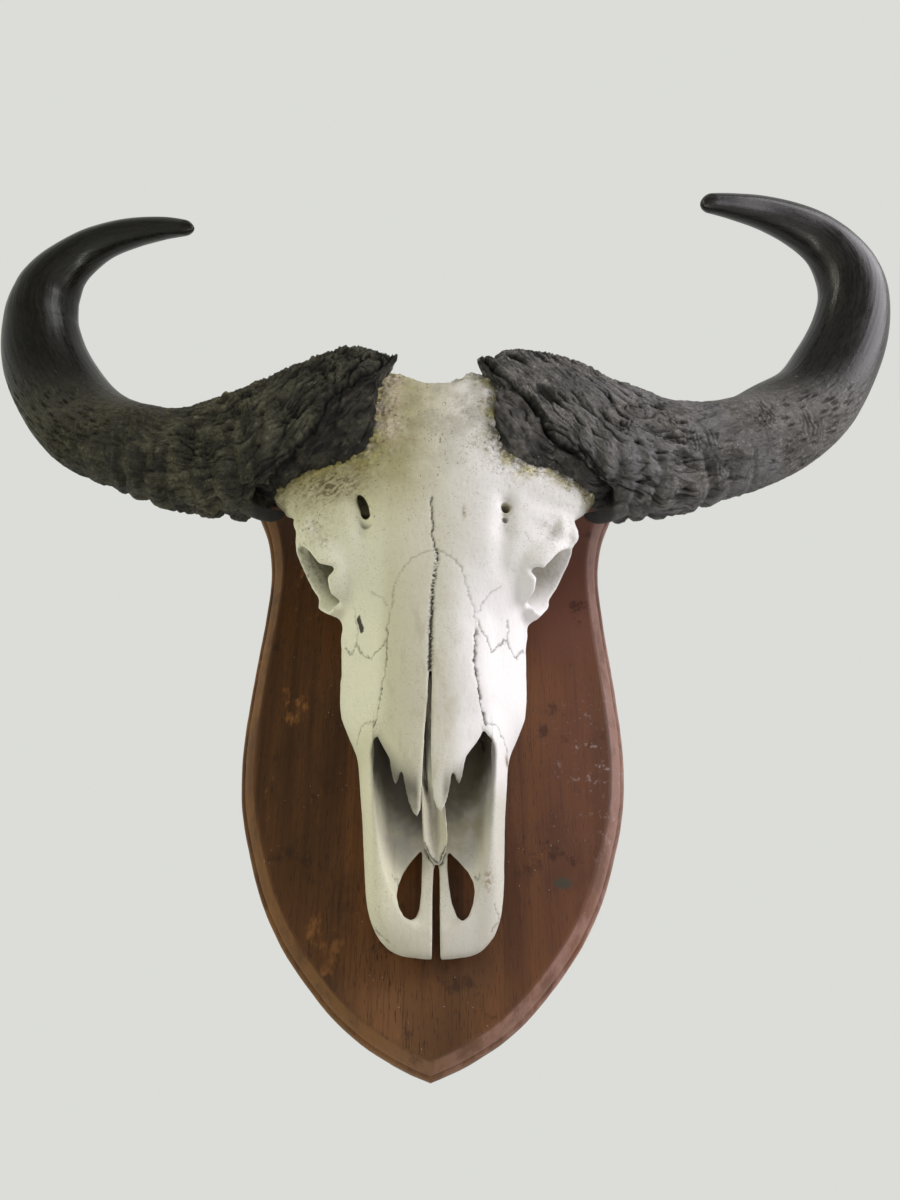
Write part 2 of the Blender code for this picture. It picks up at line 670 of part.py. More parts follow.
def horn_rings(stations, side, rows, count, grow=0.0):
    """Rings along a horn. With grow the horn is that much larger all round."""
    table = np.array(stations)
    run = np.concatenate([[0], np.cumsum(np.linalg.norm(np.diff(table[:, :3], axis=0), axis=1))])
    share = np.linspace(0, 1, rows)
    total = run[-1]
    at = np.interp(share, (0, 0.045, 0.11, 0.62, 0.955, 1), (0, 0.005, 0.030, 0.370, total - 0.013, total))
    values = hermite(run, table, at)
    centre, breadth, thick, turn = values[:, :3], values[:, 3], values[:, 4], np.radians(values[:, 5])
    # both ends are blunt and round
    ends = np.minimum(at / 0.005, (total - at) / 0.013)
    dome = np.sqrt(np.clip(1 - (1 - np.clip(ends, 0, 1)) ** 2, 0.04, 1))
    breadth, thick = breadth * dome, thick * dome
    tangent = np.gradient(centre, at, axis=0)
    tangent /= np.linalg.norm(tangent, axis=1)[:, None]
    across = np.stack([np.sin(turn), np.cos(turn), np.zeros(rows)], 1)
    face = np.array((0.0, 0.0, 1.0)) - tangent * tangent[:, 2:]
    face /= np.linalg.norm(face, axis=1)[:, None]
    # the inner end of the boss lies across the skull, so there growing is a move towards the middle
    centre[:, 0] -= 1.5 * grow * np.clip((0.06 - at) / 0.02, 0, 1)
    centre[-1] += tangent[-1] * grow
    rings = []
    for c, w, f, a, b in zip(centre, across, face, breadth / 2 + grow, thick / 2 + grow):
        power = 2.0 + 0.4 * min(1.0, max(0.0, (a - 0.04) / 0.03))
        ring = []
        for k in range(count):
            t = 2 * math.pi * (k + 0.5) / count
            u = math.copysign(abs(math.cos(t)) ** (2 / power), math.cos(t)) * a
            v = math.copysign(abs(math.sin(t)) ** (2 / power), math.sin(t)) * b
            x, z, h = c + w * u + f * v
            ring.append(place(side * x, z, h))
        rings.append(ring)
    return rings


def main():
    for obj in list(bpy.data.objects):
        bpy.data.objects.remove(obj)
    bone = material("bone", (0.74, 0.71, 0.63), 0.62)
    sheath = material("horn", (0.055, 0.050, 0.046), 0.45)
    wood = material("shield_wood", (0.13, 0.055, 0.030), 0.42)

    finish(shield(), wood)
    head = thinned(skull(), SKULL_FACES)
    for name, side, stations in (("horn_left", 1, HORN_LEFT), ("horn_right", -1, HORN_RIGHT)):
        finish(loft(name, horn_rings(stations, side, HORN_ROWS, HORN_SIDES)), sheath)
        # the bone is cut away under the sheath, with a hair of clearance
        cut(head, loft("seat", horn_rings(stations, side, HORN_ROWS, HORN_SIDES, grow=GAP)))
    finish(head, bone)


main()
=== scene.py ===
"""African buffalo skull on a wooden shield: the fine surfaces, materials, light and camera."""
import math

import bmesh
import bpy
import numpy as np
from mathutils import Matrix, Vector
from mathutils.geometry import tessellate_polygon


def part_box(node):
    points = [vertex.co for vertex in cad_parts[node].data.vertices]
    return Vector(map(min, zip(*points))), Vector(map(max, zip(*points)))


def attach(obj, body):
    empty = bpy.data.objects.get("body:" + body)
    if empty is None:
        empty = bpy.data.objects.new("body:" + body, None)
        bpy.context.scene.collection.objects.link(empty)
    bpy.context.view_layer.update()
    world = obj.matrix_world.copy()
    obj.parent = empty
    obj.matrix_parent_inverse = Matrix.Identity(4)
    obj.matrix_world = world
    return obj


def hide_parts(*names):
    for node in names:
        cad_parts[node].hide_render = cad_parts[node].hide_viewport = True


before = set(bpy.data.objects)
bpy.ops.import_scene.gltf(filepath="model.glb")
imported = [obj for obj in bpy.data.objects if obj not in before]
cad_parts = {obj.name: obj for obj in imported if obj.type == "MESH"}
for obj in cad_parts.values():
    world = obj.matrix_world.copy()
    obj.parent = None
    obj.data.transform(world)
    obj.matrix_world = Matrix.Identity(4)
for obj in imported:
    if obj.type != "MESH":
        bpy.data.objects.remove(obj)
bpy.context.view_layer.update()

# ---------------------------------------------------------------- dimensions
SHIELD_HEIGHT = 0.615
SHIELD_THICK = 0.023
SHIELD_BEVEL = 0.011
SHIELD_BEVEL_DROP = 0.009
SHIELD_QUIRK = 0.0014
SHIELD_LIP = 0.004
MUZZLE_TIP = -0.2165
MUZZLE_DRIFT = 0.004
ORBIT_CENTRE = (0.1065, 0.094, 0.122)
ORBIT_FORWARD = math.radians(33)

BONE_VOXEL = 0.00125
HORN_ROWS, HORN_SIDES = ((620, 330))
# where the picture was taken from: openings whose outline the picture shows are cut towards this point
EYE = np.array((0.0060, -0.9195, -0.3745))


# --------------------------------------------------------------------- noise
def hashed(ix, iy, iz, seed):
    with np.errstate(over="ignore"):
        n = (ix.astype(np.uint32) * np.uint32(374761393)) ^ (iy.astype(np.uint32) * np.uint32(668265263))
        n = n ^ (iz.astype(np.uint32) * np.uint32(2246822519)) ^ np.uint32((seed * 3266489917) & 0xFFFFFFFF)
        n = (n ^ (n >> np.uint32(15))) * np.uint32(2246822519)
        n = (n ^ (n >> np.uint32(13))) * np.uint32(3266489917)
        return n ^ (n >> np.uint32(16))


def noise(points, scale, seed=0):
    """Smooth gradient noise, about -1 to 1. scale is features per metre, or one for each axis."""
    p = np.asarray(points, float) * scale + 1000.0
    i = np.floor(p).astype(np.int64)
    f = p - i
    w = f * f * f * (f * (f * 6 - 15) + 10)
    total = np.zeros(len(p))
    for dx in (0, 1):
        for dy in (0, 1):
            for dz in (0, 1):
                h = hashed(i[:, 0] + dx, i[:, 1] + dy, i[:, 2] + dz, seed)
                g0 = (h & 1023) / 511.5 - 1
                g1 = ((h >> 10) & 1023) / 511.5 - 1
                g2 = ((h >> 20) & 1023) / 511.5 - 1
                dot = g0 * (f[:, 0] - dx) + g1 * (f[:, 1] - dy) + g2 * (f[:, 2] - dz)
                wx = w[:, 0] if dx else 1 - w[:, 0]
                wy = w[:, 1] if dy else 1 - w[:, 1]
                wz = w[:, 2] if dz else 1 - w[:, 2]
                total += dot * wx * wy * wz
    return total * 1.6


def fbm(points, scale, octaves=4, seed=0, gain=0.5, ridged=False):
    scale = np.asarray(scale, float)
    total, size, most = 0.0, 1.0, 0.0
    for k in range(octaves):
        n = noise(points, scale * 2.03**k, seed + k)
        total = total + size * ((1 - np.abs(n) * 2) if ridged else n)
        most += size
        size *= gain
    return total / most


def cells(points, scale, seed=0):
    """Distance to the nearest of one random point for each cell, in cells, and that point's own number from 0 to 1."""
    p = np.asarray(points, float) * scale + 1000.0
    i = np.floor(p).astype(np.int64)
    best = np.full(len(p), 9.0)
    own = np.zeros(len(p))
    for dx in (-1, 0, 1):
        for dy in (-1, 0, 1):
            for dz in (-1, 0, 1):
                cx, cy, cz = i[:, 0] + dx, i[:, 1] + dy, i[:, 2] + dz
                h = hashed(cx, cy, cz, seed)
                qx = cx + (h & 1023) / 1023
                qy = cy + ((h >> 10) & 1023) / 1023
                qz = cz + ((h >> 20) & 1023) / 1023
                d = (qx - p[:, 0]) ** 2 + (qy - p[:, 1]) ** 2 + (qz - p[:, 2]) ** 2
                near = d < best
                best = np.where(near, d, best)
                own = np.where(near, ((h * np.uint32(2654435761)) >> 8 & 1023) / 1023, own)
    return np.sqrt(best), own


def step(low, high, value):
    t = np.clip((value - low) / (high - low), 0, 1)
    return t * t * (3 - 2 * t)


def bump(value, width):
    return np.exp(-((value / width) ** 2))


def to_line(x, z, line):
    """For each (x, z): distance to a polyline, how far along it the nearest point is, and which
    side it is on (positive to the left of its direction)."""
    line = np.asarray(line, float)
    best = np.full(len(x), 9.0)
    along = np.zeros(len(x))
    side = np.zeros(len(x))
    run = 0.0
    for a, b in zip(line, line[1:]):
        ab = b - a
        length = max(1e-9, math.hypot(*ab))
        t = np.clip(((x - a[0]) * ab[0] + (z - a[1]) * ab[1]) / length**2, 0, 1)
        dx, dz = x - a[0] - t * ab[0], z - a[1] - t * ab[1]
        d = np.hypot(dx, dz)
        near = d < best
        best = np.where(near, d, best)
        along = np.where(near, run + t * length, along)
        side = np.where(near, np.sign(ab[0] * dz - ab[1] * dx), side)
        run += length
    return best, along, side


# ----------------------------------------------------------------- modelling
def place(x, z, h):
    return Vector((x, -(SHIELD_THICK + h), z))


def hermite(knots, values, at):
    knots = np.asarray(knots, float)
    values = np.asarray(values, float)
    if values.ndim == 1:
        values = values[:, None]
    slope = np.zeros_like(values)
    slope[1:-1] = (values[2:] - values[:-2]) / (knots[2:] - knots[:-2])[:, None]
    slope[0] = (values[1] - values[0]) / (knots[1] - knots[0])
    slope[-1] = (values[-1] - values[-2]) / (knots[-1] - knots[-2])
    at = np.atleast_1d(np.asarray(at, float))
    i = np.clip(np.searchsorted(knots, at, side="right") - 1, 0, len(knots) - 2)
    width = knots[i + 1] - knots[i]
    t = ((at - knots[i]) / width)[:, None]
    width = width[:, None]
    return (
        (2 * t**3 - 3 * t**2 + 1) * values[i]
        + (t**3 - 2 * t**2 + t) * width * slope[i]
        + (3 * t**2 - 2 * t**3) * values[i + 1]
        + (t**3 - t**2) * width * slope[i + 1]
    )


def smooth_ring(corners, count):
    corners = np.asarray(corners, float)
    looped = np.concatenate([corners[-2:], corners, corners[:3]])
    lengths = np.linalg.norm(np.diff(looped, axis=0), axis=1) ** 0.5 + 1e-6
    knots = np.concatenate([[0], np.cumsum(lengths)])
    return hermite(knots, looped, np.linspace(knots[2], knots[2 + len(corners)], count, endpoint=False))


def new_object(name, mesh):
    obj = bpy.data.objects.new(name, mesh)
    bpy.context.scene.collection.objects.link(obj)
    return obj


def mesh_of(name, points, faces):
    mesh = bpy.data.meshes.new(name)
    mesh.from_pydata([tuple(p) for p in points], [], faces)
    mesh.update()
    return mesh


def loft(name, rings, flat_ends=False):
    """Rings joined into one solid. flat_ends: ends of any outline, else a fan round the middle."""
    bm = bmesh.new()
    rows = [[bm.verts.new(p) for p in ring] for ring in rings]
    n = len(rows[0])
    for a, b in zip(rows, rows[1:]):
        for i in range(n):
            j = (i + 1) % n
            bm.faces.new((a[i], a[j], b[j]))
            bm.faces.new((a[i], b[j], b[i]))
    for row in (rows[0], rows[-1]):
        if flat_ends:
            bmesh.ops.triangulate(bm, faces=[bm.faces.new(row)])
            continue
        hub = bm.verts.new(sum((v.co for v in row), Vector()) / n)
        for i in range(n):
            bm.faces.new((row[i], row[(i + 1) % n], hub))
    bmesh.ops.recalc_face_normals(bm, faces=bm.faces)
    mesh = bpy.data.meshes.new(name)
    bm.to_mesh(mesh)
    bm.free()
    return new_object(name, mesh)


def blob(name, centre, radii, segments=32):
    bm = bmesh.new()
    bmesh.ops.create_uvsphere(bm, u_segments=segments, v_segments=segments // 2, radius=1)
    x, z, h = centre
    for v in bm.verts:
        c = v.co.copy()
        v.co = place(x + c.x * radii[0], z + c.y * radii[1], h + c.z * radii[2])
    bmesh.ops.recalc_face_normals(bm, faces=bm.faces)
    mesh = bpy.data.meshes.new(name)
    bm.to_mesh(mesh)
    bm.free()
    return new_object(name, mesh)


def sweep(name, path, sizes, steps=32, around=24, flat_to=(0, 0, 1), power=2.0):
    path = np.asarray(path, float)
    sizes = np.asarray(sizes, float)
    run = np.concatenate([[0], np.cumsum(np.linalg.norm(np.diff(path, axis=0), axis=1))])
    at = np.linspace(0, run[-1], steps)
    line, size = hermite(run, path, at), np.maximum(hermite(run, sizes, at), 1e-4)
    tangent = np.gradient(line, axis=0)
    tangent /= np.linalg.norm(tangent, axis=1)[:, None]
    flat = np.asarray(flat_to, float)
    deep = flat - tangent * (tangent @ flat)[:, None]
    deep /= np.linalg.norm(deep, axis=1)[:, None]
    wide = np.cross(tangent, deep)
    angle = 2 * np.pi * np.arange(around) / around
    u = np.sign(np.cos(angle)) * np.abs(np.cos(angle)) ** (2 / power)
    v = np.sign(np.sin(angle)) * np.abs(np.sin(angle)) ** (2 / power)
    rings = []
    for c, w, d, s in zip(line, wide, deep, size):
        pts = c + np.outer(u * s[0], w) + np.outer(v * s[1], d)
        rings.append([place(*q) for q in pts])
    return loft(name, rings)


def mirrored(obj, name):
    mesh = obj.data.copy()
    for v in mesh.vertices:
        v.co.x = -v.co.x
    mesh.flip_normals()
    return new_object(name, mesh)


def apply_modifiers(obj):
    graph = bpy.context.evaluated_depsgraph_get()
    mesh = bpy.data.meshes.new_from_object(obj.evaluated_get(graph))
    old = obj.data
    obj.modifiers.clear()
    obj.data = mesh
    bpy.data.meshes.remove(old)
    return obj


def joined(name, objects):
    bm = bmesh.new()
    for obj in objects:
        bm.from_mesh(obj.data)
    mesh = bpy.data.meshes.new(name)
    bm.to_mesh(mesh)
    bm.free()
    for obj in objects:
        bpy.data.objects.remove(obj)
    return new_object(name, mesh)


def remesh(obj, voxel, smoothing=0, factor=0.5):
    m = obj.modifiers.new("remesh", "REMESH")
    m.mode, m.voxel_size = "VOXEL", voxel
    if smoothing:
        s = obj.modifiers.new("smooth", "SMOOTH")
        s.factor, s.iterations = factor, smoothing
    return apply_modifiers(obj)


def cut(obj, cutter, operation="DIFFERENCE"):
    """One boolean. Where the exact solver loses the body, the body is remeshed and cut again."""
    least = 0.6 * len(obj.data.vertices) if operation == "DIFFERENCE" else 200
    kept = obj.data.copy()
    for voxel in (0, 0.0017, 0.0015):
        if voxel:
            obj.data = kept.copy()
            remesh(obj, voxel)
        m = obj.modifiers.new("cut", "BOOLEAN")
        m.operation, m.solver, m.object = operation, "EXACT", cutter
        bpy.context.view_layer.update()
        apply_modifiers(obj)
        if len(obj.data.vertices) > least:
            break
    else:
        raise RuntimeError(f"the cut {cutter.name} lost the body")
    bpy.data.meshes.remove(kept)
    bpy.data.objects.remove(cutter)
    return obj


def window(name, outline, height, near, far):
    """Cutter through the outline (x, z) at a height off the board, drawn towards the eye."""
    points = [np.array(place(x, z, height(x, z) if callable(height) else height)) for x, z in outline]
    rays = [(q - EYE) / np.linalg.norm(q - EYE) for q in points]
    # both ends are filled by the same triangles, found in the plane of the outline as the eye sees it
    seen = [Vector((r[0] / r[1], r[2] / r[1], 0)) for r in rays]
    fill = tessellate_polygon([seen])
    count = len(points)
    verts = [q - r * near for q, r in zip(points, rays)] + [q + r * far for q, r in zip(points, rays)]
    faces = [tuple(t) for t in fill] + [tuple(count + i for i in reversed(t)) for t in fill]
    for i in range(count):
        j = (i + 1) % count
        faces += [(i, j, count + j), (i, count + j, count + i)]
    mesh = mesh_of(name, verts, faces)
    bm = bmesh.new()
    bm.from_mesh(mesh)
    bmesh.ops.recalc_face_normals(bm, faces=bm.faces)
    bm.to_mesh(mesh)
    bm.free()
    return new_object(name, mesh)


def points_of(mesh):
    co = np.empty(len(mesh.vertices) * 3, np.float32)
    mesh.vertices.foreach_get("co", co)
    return co.reshape(-1, 3).astype(float)


def normals_of(mesh):
    no = np.empty(len(mesh.vertices) * 3, np.float32)
    mesh.vertices.foreach_get("normal", no)
    return no.reshape(-1, 3).astype(float)


def move_points(mesh, points):
    mesh.vertices.foreach_set("co", np.ascontiguousarray(points, np.float32).ravel())
    mesh.update()


def mark(mesh, name, values):
    """A number for each point that the material reads."""
    a = mesh.attributes.new(name, "FLOAT", "POINT")
    a.data.foreach_set("value", np.ascontiguousarray(values, np.float32))


def mark3(mesh, name, values):
    a = mesh.attributes.new(name, "FLOAT_VECTOR", "POINT")
    a.data.foreach_set("vector", np.ascontiguousarray(values, np.float32).ravel())


# --------------------------------------------------------------------- skull
SECTIONS = (
    (-0.2165, (0, .0265), (.006, .0260), (.010, .0245), (.012, .0215), (.010, .0180), (.006, .0165), (0, .0160)),
    (-0.2140, (0, .0290), (.014, .0290), (.026, .0270), (.032, .0225), (.026, .0160), (.014, .0140), (0, .0140)),
    (-0.2040, (0, .0320), (.022, .0325), (.039, .0310), (.046, .0245), (.040, .0150), (.020, .0130), (0, .0135)),
    (-0.1880, (0, .0340), (.030, .0360), (.047, .0355), (.055, .0265), (.048, .0155), (.026, .0140), (0, .0150)),
    (-0.1650, (0, .0360), (.034, .0410), (.050, .0420), (.0595, .0300), (.053, .0175), (.030, .0160), (0, .0170)),
    (-0.1350, (0, .0420), (.036, .0520), (.051, .0520), (.0610, .0360), (.055, .0200), (.034, .0180), (0, .0190)),
    (-0.1050, (0, .0540), (.038, .0640), (.052, .0640), (.0625, .0420), (.057, .0220), (.036, .0200), (0, .0210)),
    (-0.0750, (0, .0720), (.040, .0800), (.053, .0790), (.0650, .0500), (.060, .0240), (.040, .0210), (0, .0230)),
    (-0.0480, (0, .1000), (.040, .1020), (.0530, .0960), (.0670, .0600), (.0660, .0300), (.048, .0230), (0, .0250)),
    (-0.0300, (0, .1172), (.038, .1075), (.0560, .0960), (.0730, .0620), (.0750, .0370), (.060, .0240), (0, .0265)),
    (-0.0100, (0, .1288), (.039, .1192), (.0590, .1000), (.0810, .0640), (.0835, .0410), (.070, .0250), (0, .0280)),
    (0.0250, (0, .1430), (.0395, .1340), (.0620, .1120), (.0830, .0740), (.0850, .0440), (.073, .0260), (0, .0300)),
    (0.0550, (0, .1545), (.0420, .1470), (.0670, .1270), (.0830, .0880), (.0830, .0500), (.070, .0290), (0, .0330)),
    (0.0850, (0, .1655), (.0470, .1610), (.0800, .1460), (.0820, .1000), (.0740, .0560), (.060, .0360), (0, .0380)),
    (0.1150, (0, .1755), (.0520, .1730), (.0980, .1550), (.0820, .1130), (.0660, .0680), (.048, .0470), (0, .0450)),
    (0.1450, (0, .1850), (.0560, .1820), (.0980, .1630), (.0720, .1230), (.0600, .0830), (.044, .0600), (0, .0520)),
    (0.1800, (0, .1930), (.0570, .1900), (.0860, .1740), (.0680, .1250), (.0600, .0850), (.042, .0600), (0, .0540)),
    (0.2200, (0, .1990), (.0560, .1970), (.0840, .1800), (.0700, .1250), (.0620, .0880), (.042, .0620), (0, .0560)),
    (0.2500, (0, .1985), (.0530, .1970), (.0760, .1780), (.0700, .1220), (.0600, .0880), (.040, .0640), (0, .0580)),
    (0.2680, (0, .1900), (.0480, .1880), (.0660, .1680), (.0640, .1200), (.0530, .0900), (.034, .0680), (0, .0620)),
    (0.2760, (0, .1720), (.0360, .1700), (.0500, .1560), (.0500, .1220), (.0420, .0980), (.028, .0780), (0, .0740)),
)


def drift(z):
    t = min(1.0, max(0.0, (0.02 - z) / (0.02 - MUZZLE_TIP)))
    return MUZZLE_DRIFT * t * t


def body_rings(rows, count):
    zs = [s[0] for s in SECTIONS]
    table = np.array([[c for p in s[1:] for c in p] for s in SECTIONS])
    share = np.linspace(0, 1, rows)
    at = zs[0] + (zs[-1] - zs[0]) * (0.5 - 0.5 * np.cos(math.pi * share)) * 0.35 + (zs[-1] - zs[0]) * share * 0.65
    rings = []
    for z, row in zip(at, hermite(zs, table, at)):
        half = row.reshape(-1, 2)
        full = np.concatenate([half, half[-2:0:-1] * (-1, 1)])
        rings.append([place(x + drift(z), z, h) for x, h in smooth_ring(full, count)])
    return rings


def socket_rings(profile, count=40, squash=1.0):
    cx, cz, ch = ORBIT_CENTRE
    out = (math.cos(ORBIT_FORWARD), -math.sin(ORBIT_FORWARD))
    along = (math.sin(ORBIT_FORWARD), math.cos(ORBIT_FORWARD))
    rings = []
    for d, r in profile:
        ring = []
        for k in range(count):
            a = 2 * math.pi * k / count
            u, v = math.cos(a) * r, math.sin(a) * r * squash
            ring.append(place(cx + out[0] * d + along[0] * u, cz + out[1] * d + along[1] * u, ch + v))
        rings.append(ring)
    return rings


def skull_shells():
    shells = [loft("body", body_rings(150, 80))]
    rim = socket_rings((
        (-0.050, 0.034), (-0.030, 0.040), (-0.012, 0.0400), (-0.003, 0.0375), (0.0015, 0.0350), (0.0030, 0.0325),
    ), squash=0.98)
    shells.append(loft("socket", rim))
    shells.append(mirrored(shells[-1], "socket"))
    pieces = [
        sweep("arch",
              ((.108, .105, .088), (.1140, .140, .080), (.1100, .170, .077), (.0980, .200, .082), (.0720, .222, .088)),
              ((.006, .013), (.0050, .0115), (.0048, .0100), (.0065, .0110), (.012, .016))),
        sweep("bar",
              ((.1080, .128, .160), (.1195, .130, .140), (.1225, .132, .115), (.1150, .134, .085)),
              ((.010, .012), (.0060, .0080), (.0055, .0080), (.0070, .010)), flat_to=(0, 1, 0)),
        sweep("brow",
              ((.050, .150, .168), (.085, .143, .161), (.112, .137, .151), (.123, .130, .145)),
              ((.024, .012), (.022, .012), (.0170, .0100), (.0090, .0070))),
        sweep("pedicle",
              ((.050, .176, .166), (.090, .170, .158), (.120, .1665, .149), (.134, .1658, .1455), (.1405, .1648, .1465), (.1450, .1635, .1472), (.1482, .1625, .1475)),
              ((.036, .022), (.031, .022), (.0265, .020), (.0195, .0155), (.0140, .0125), (.0085, .0085), (.0016, .0022))),
        sweep("core",
              ((.040, .212, .163), (.080, .216, .158), (.115, .220, .150), (.145, .222, .140), (.190, .224, .132)),
              ((.048, .028), (.046, .026), (.040, .024), (.034, .022), (.018, .014))),
        sweep("cheek",
              ((.073, .010, .060), (.076, .035, .066), (.079, .060, .080), (.088, .082, .090)),
              ((.008, .016), (.008, .016), (.008, .016), (.008, .012))),
        blob("condyle", (.022, .272, .060), (.013, .016, .022)),
        blob("sill", (.0930, .0830, .1040), (.0190, .0175, .0220)),
        sweep("shoulder",
              ((.016, .262, .183), (.032, .2655, .1855), (.048, .2650, .1850), (.062, .258, .1790)),
              ((.0120, .0100), (.0145, .0110), (.0150, .0110), (.0120, .0090))),
        sweep("process",
              ((.052, .250, .085), (.054, .252, .050), (.052, .250, .020), (.050, .247, .0045)),
              ((.010, .012), (.008, .011), (.006, .008), (.004, .005)), flat_to=(0, 1, 0)),
        blob("bulla", (.034, .214, .048), (.014, .022, .020)),
        sweep("wing",
              ((.034, .090, .045), (.032, .115, .040), (.028, .140, .040), (.022, .165, .050)),
              ((.0045, .016), (.0035, .018), (.0035, .016), (.006, .012))),
        sweep("crest",
              ((.000, .270, .158), (.030, .270, .154), (.055, .262, .138), (.064, .250, .112)),
              ((.009, .008), (.009, .008), (.009, .008), (.008, .008))),
        sweep("ear",
              ((.060, .225, .098), (.074, .226, .093), (.084, .224, .088)),
              ((.011, .011), (.0085, .0085), (.0065, .0065)), flat_to=(0, 1, 0)),
    ]
    for piece in pieces:
        shells += [piece, mirrored(piece, piece.name)]
    shells.append(blob("corner", (.1255, .1280, .1440), (.0065, .0085, .0085)))
    shells.append(sweep("base",
                        ((0, .130, .048), (0, .180, .050), (0, .230, .052), (0, .262, .058)),
                        ((.016, .014), (.018, .014), (.020, .014), (.020, .012))))
    # the bone that holds the cheek teeth
    for side in (-1, 1):
        shells.append(sweep("gum",
                            ((side * .0570, -.040, .030), (side * .0635, .000, .0290), (side * .0655, .050, .0290),
                             (side * .0600, .100, .0310), (side * .0560, .116, .0360)),
                            ((.0105, .013), (.0120, .014), (.0130, .0145), (.0120, .014), (.009, .010)), power=2.6))
    return shells


def nose_cutter():
    rows = (
        (-0.1930, .016, .020, .0310, .060),
        (-0.1800, .030, .036, .0300, .085),
        (-0.1500, .038, .046, .0300, .095),
        (-0.1200, .042, .0490, .0320, .110),
        (-0.0900, .044, .0505, .0330, .120),
        (-0.0600, .045, .0510, .0340, .120),
        (-0.0480, .045, .0500, .0345, .110),
        (-0.0380, .046, .0480, .0350, .1080),
        (-0.0100, .046, .0440, .0360, .1130),
        (0.0300, .040, .0360, .0380, .1200),
        (0.0650, .024, .0200, .0480, .1180),
    )
    at = np.linspace(rows[0][0], rows[-1][0], 60)
    values = hermite([r[0] for r in rows], [r[1:] for r in rows], at)
    rings = []
    for z, (w0, w1, h0, h1) in zip(at, values):
        mid = (h0 + h1) / 2
        full = [
            (0, h1), (w1 * .7, h1 - .002), (w1, h1 - (h1 - mid) * .45), (max(w0, w1) * 1.03, mid),
            (w0, h0 + (mid - h0) * .3), (w0 * .75, h0 + .001), (0, h0),
        ]
        full = full + [(-x, h) for x, h in full[-2:0:-1]]
        rings.append([place(x + drift(z), z, h) for x, h in smooth_ring(full, 56)])
    return loft("nose", rings)


# Outlines (x, z) of openings, at the height off the board given where they are used.
FISSURES = (
    ((-.0087, -.1258), (-.0115, -.1294), (-.0184, -.1373), (-.0251, -.1477), (-.0291, -.1580), (-.0302, -.1664), (-.0278, -.1765),
     (-.0234, -.1839), (-.0178, -.1868), (-.0132, -.1847), (-.0104, -.1773), (-.0090, -.1638), (-.0087, -.1442)),
    ((.0132, -.1258), (.0155, -.1293), (.0234, -.1371), (.0311, -.1458), (.0358, -.1544), (.0369, -.1629), (.0351, -.1738),
     (.0312, -.1838), (.0261, -.1875), (.0214, -.1838), (.0172, -.1730), (.0147, -.1595), (.0132, -.1424)),
)
GAP = ((.0004, -.2350), (.0004, -.2026), (.0004, -.1697), (.0012, -.1442), (.0038, -.1337), (.0064, -.1441), (.0069, -.1697),
       (.0074, -.2026), (.0080, -.2350))
NASALS = (
    ((-.0011, .0805), (-.0016, .0517), (-.0021, .0223), (-.0046, -.0224), (-.0071, -.0542), (-.0080, -.0735), (-.0089, -.0965),
     (-.0098, -.1092), (-.0126, -.1150), (-.0165, -.1102), (-.0196, -.1033), (-.0222, -.0945), (-.0241, -.0850), (-.0256, -.0742),
     (-.0284, -.0850), (-.0307, -.0890), (-.0331, -.0846), (-.0347, -.0774), (-.0362, -.0680), (-.0395, -.0621), (-.0445, -.0532),
     (-.0475, -.0467), (-.0494, -.0400), (-.0474, -.0296), (-.0448, -.0176), (-.0420, -.0032), (-.0405, .0116), (-.0397, .0355),
     (-.0344, .0669), (-.0256, .0827), (-.0120, .0900)),
    ((-.0003, .0805), (-.0005, .0517), (-.0004, .0223), (-.0010, -.0224), (-.0014, -.0542), (-.0012, -.0735), (-.0004, -.0888),
     (.0011, -.1003), (.0036, -.1072), (.0073, -.1110), (.0103, -.1064), (.0132, -.0980), (.0151, -.0890), (.0168, -.0756),
     (.0195, -.0855), (.0222, -.0895), (.0249, -.0844), (.0266, -.0749), (.0283, -.0672), (.0320, -.0618), (.0367, -.0556),
     (.0409, -.0487), (.0443, -.0400), (.0436, -.0327), (.0402, -.0206), (.0377, -.0061), (.0356, .0066), (.0366, .0333),
     (.0311, .0588), (.0250, .0750), (.0120, .0890)),
)
ORBITS = (
    ((-.1203, .1119), (-.1176, .1121), (-.1146, .1099), (-.1130, .1074), (-.1102, .1066), (-.1086, .1033), (-.1056, .0996),
     (-.1032, .0955), (-.0995, .0913), (-.0984, .0943), (-.0964, .0919), (-.0919, .0907), (-.0870, .0909), (-.0836, .0960),
     (-.0852, .0898), (-.0878, .0851), (-.0903, .0806), (-.0930, .0800), (-.0923, .0754), (-.0902, .0635), (-.0866, .0600),
     (-.0824, .0573), (-.0794, .0526), (-.0796, .0487), (-.0825, .0468), (-.0840, .0433), (-.0850, .0408), (-.0882, .0406),
     (-.0916, .0421), (-.0946, .0452), (-.0981, .0495), (-.1008, .0540), (-.1025, .0595), (-.1038, .0674), (-.1053, .0761),
     (-.1082, .0833), (-.1116, .0898), (-.1136, .0971), (-.1162, .1028), (-.1190, .1085)),
    ((.1214, .1099), (.1193, .1093), (.1164, .1082), (.1159, .1119), (.1147, .1082), (.1122, .1069), (.1092, .1044), (.1048, .0994),
     (.1018, .0949), (.0997, .0945), (.0977, .0900), (.0963, .0883), (.0943, .0904), (.0926, .0916), (.0905, .0911), (.0870, .0895),
     (.0829, .0911), (.0805, .0902), (.0841, .0862), (.0867, .0830), (.0887, .0810), (.0904, .0794), (.0890, .0742), (.0879, .0662),
     (.0852, .0615), (.0816, .0568), (.0792, .0536), (.0794, .0489), (.0811, .0459), (.0831, .0432), (.0870, .0411), (.0907, .0419),
     (.0943, .0452), (.0980, .0502), (.1009, .0557), (.1034, .0624), (.1054, .0687), (.1070, .0775), (.1096, .0852), (.1132, .0905),
     (.1164, .0944), (.1184, .0987), (.1202, .1061)),
)
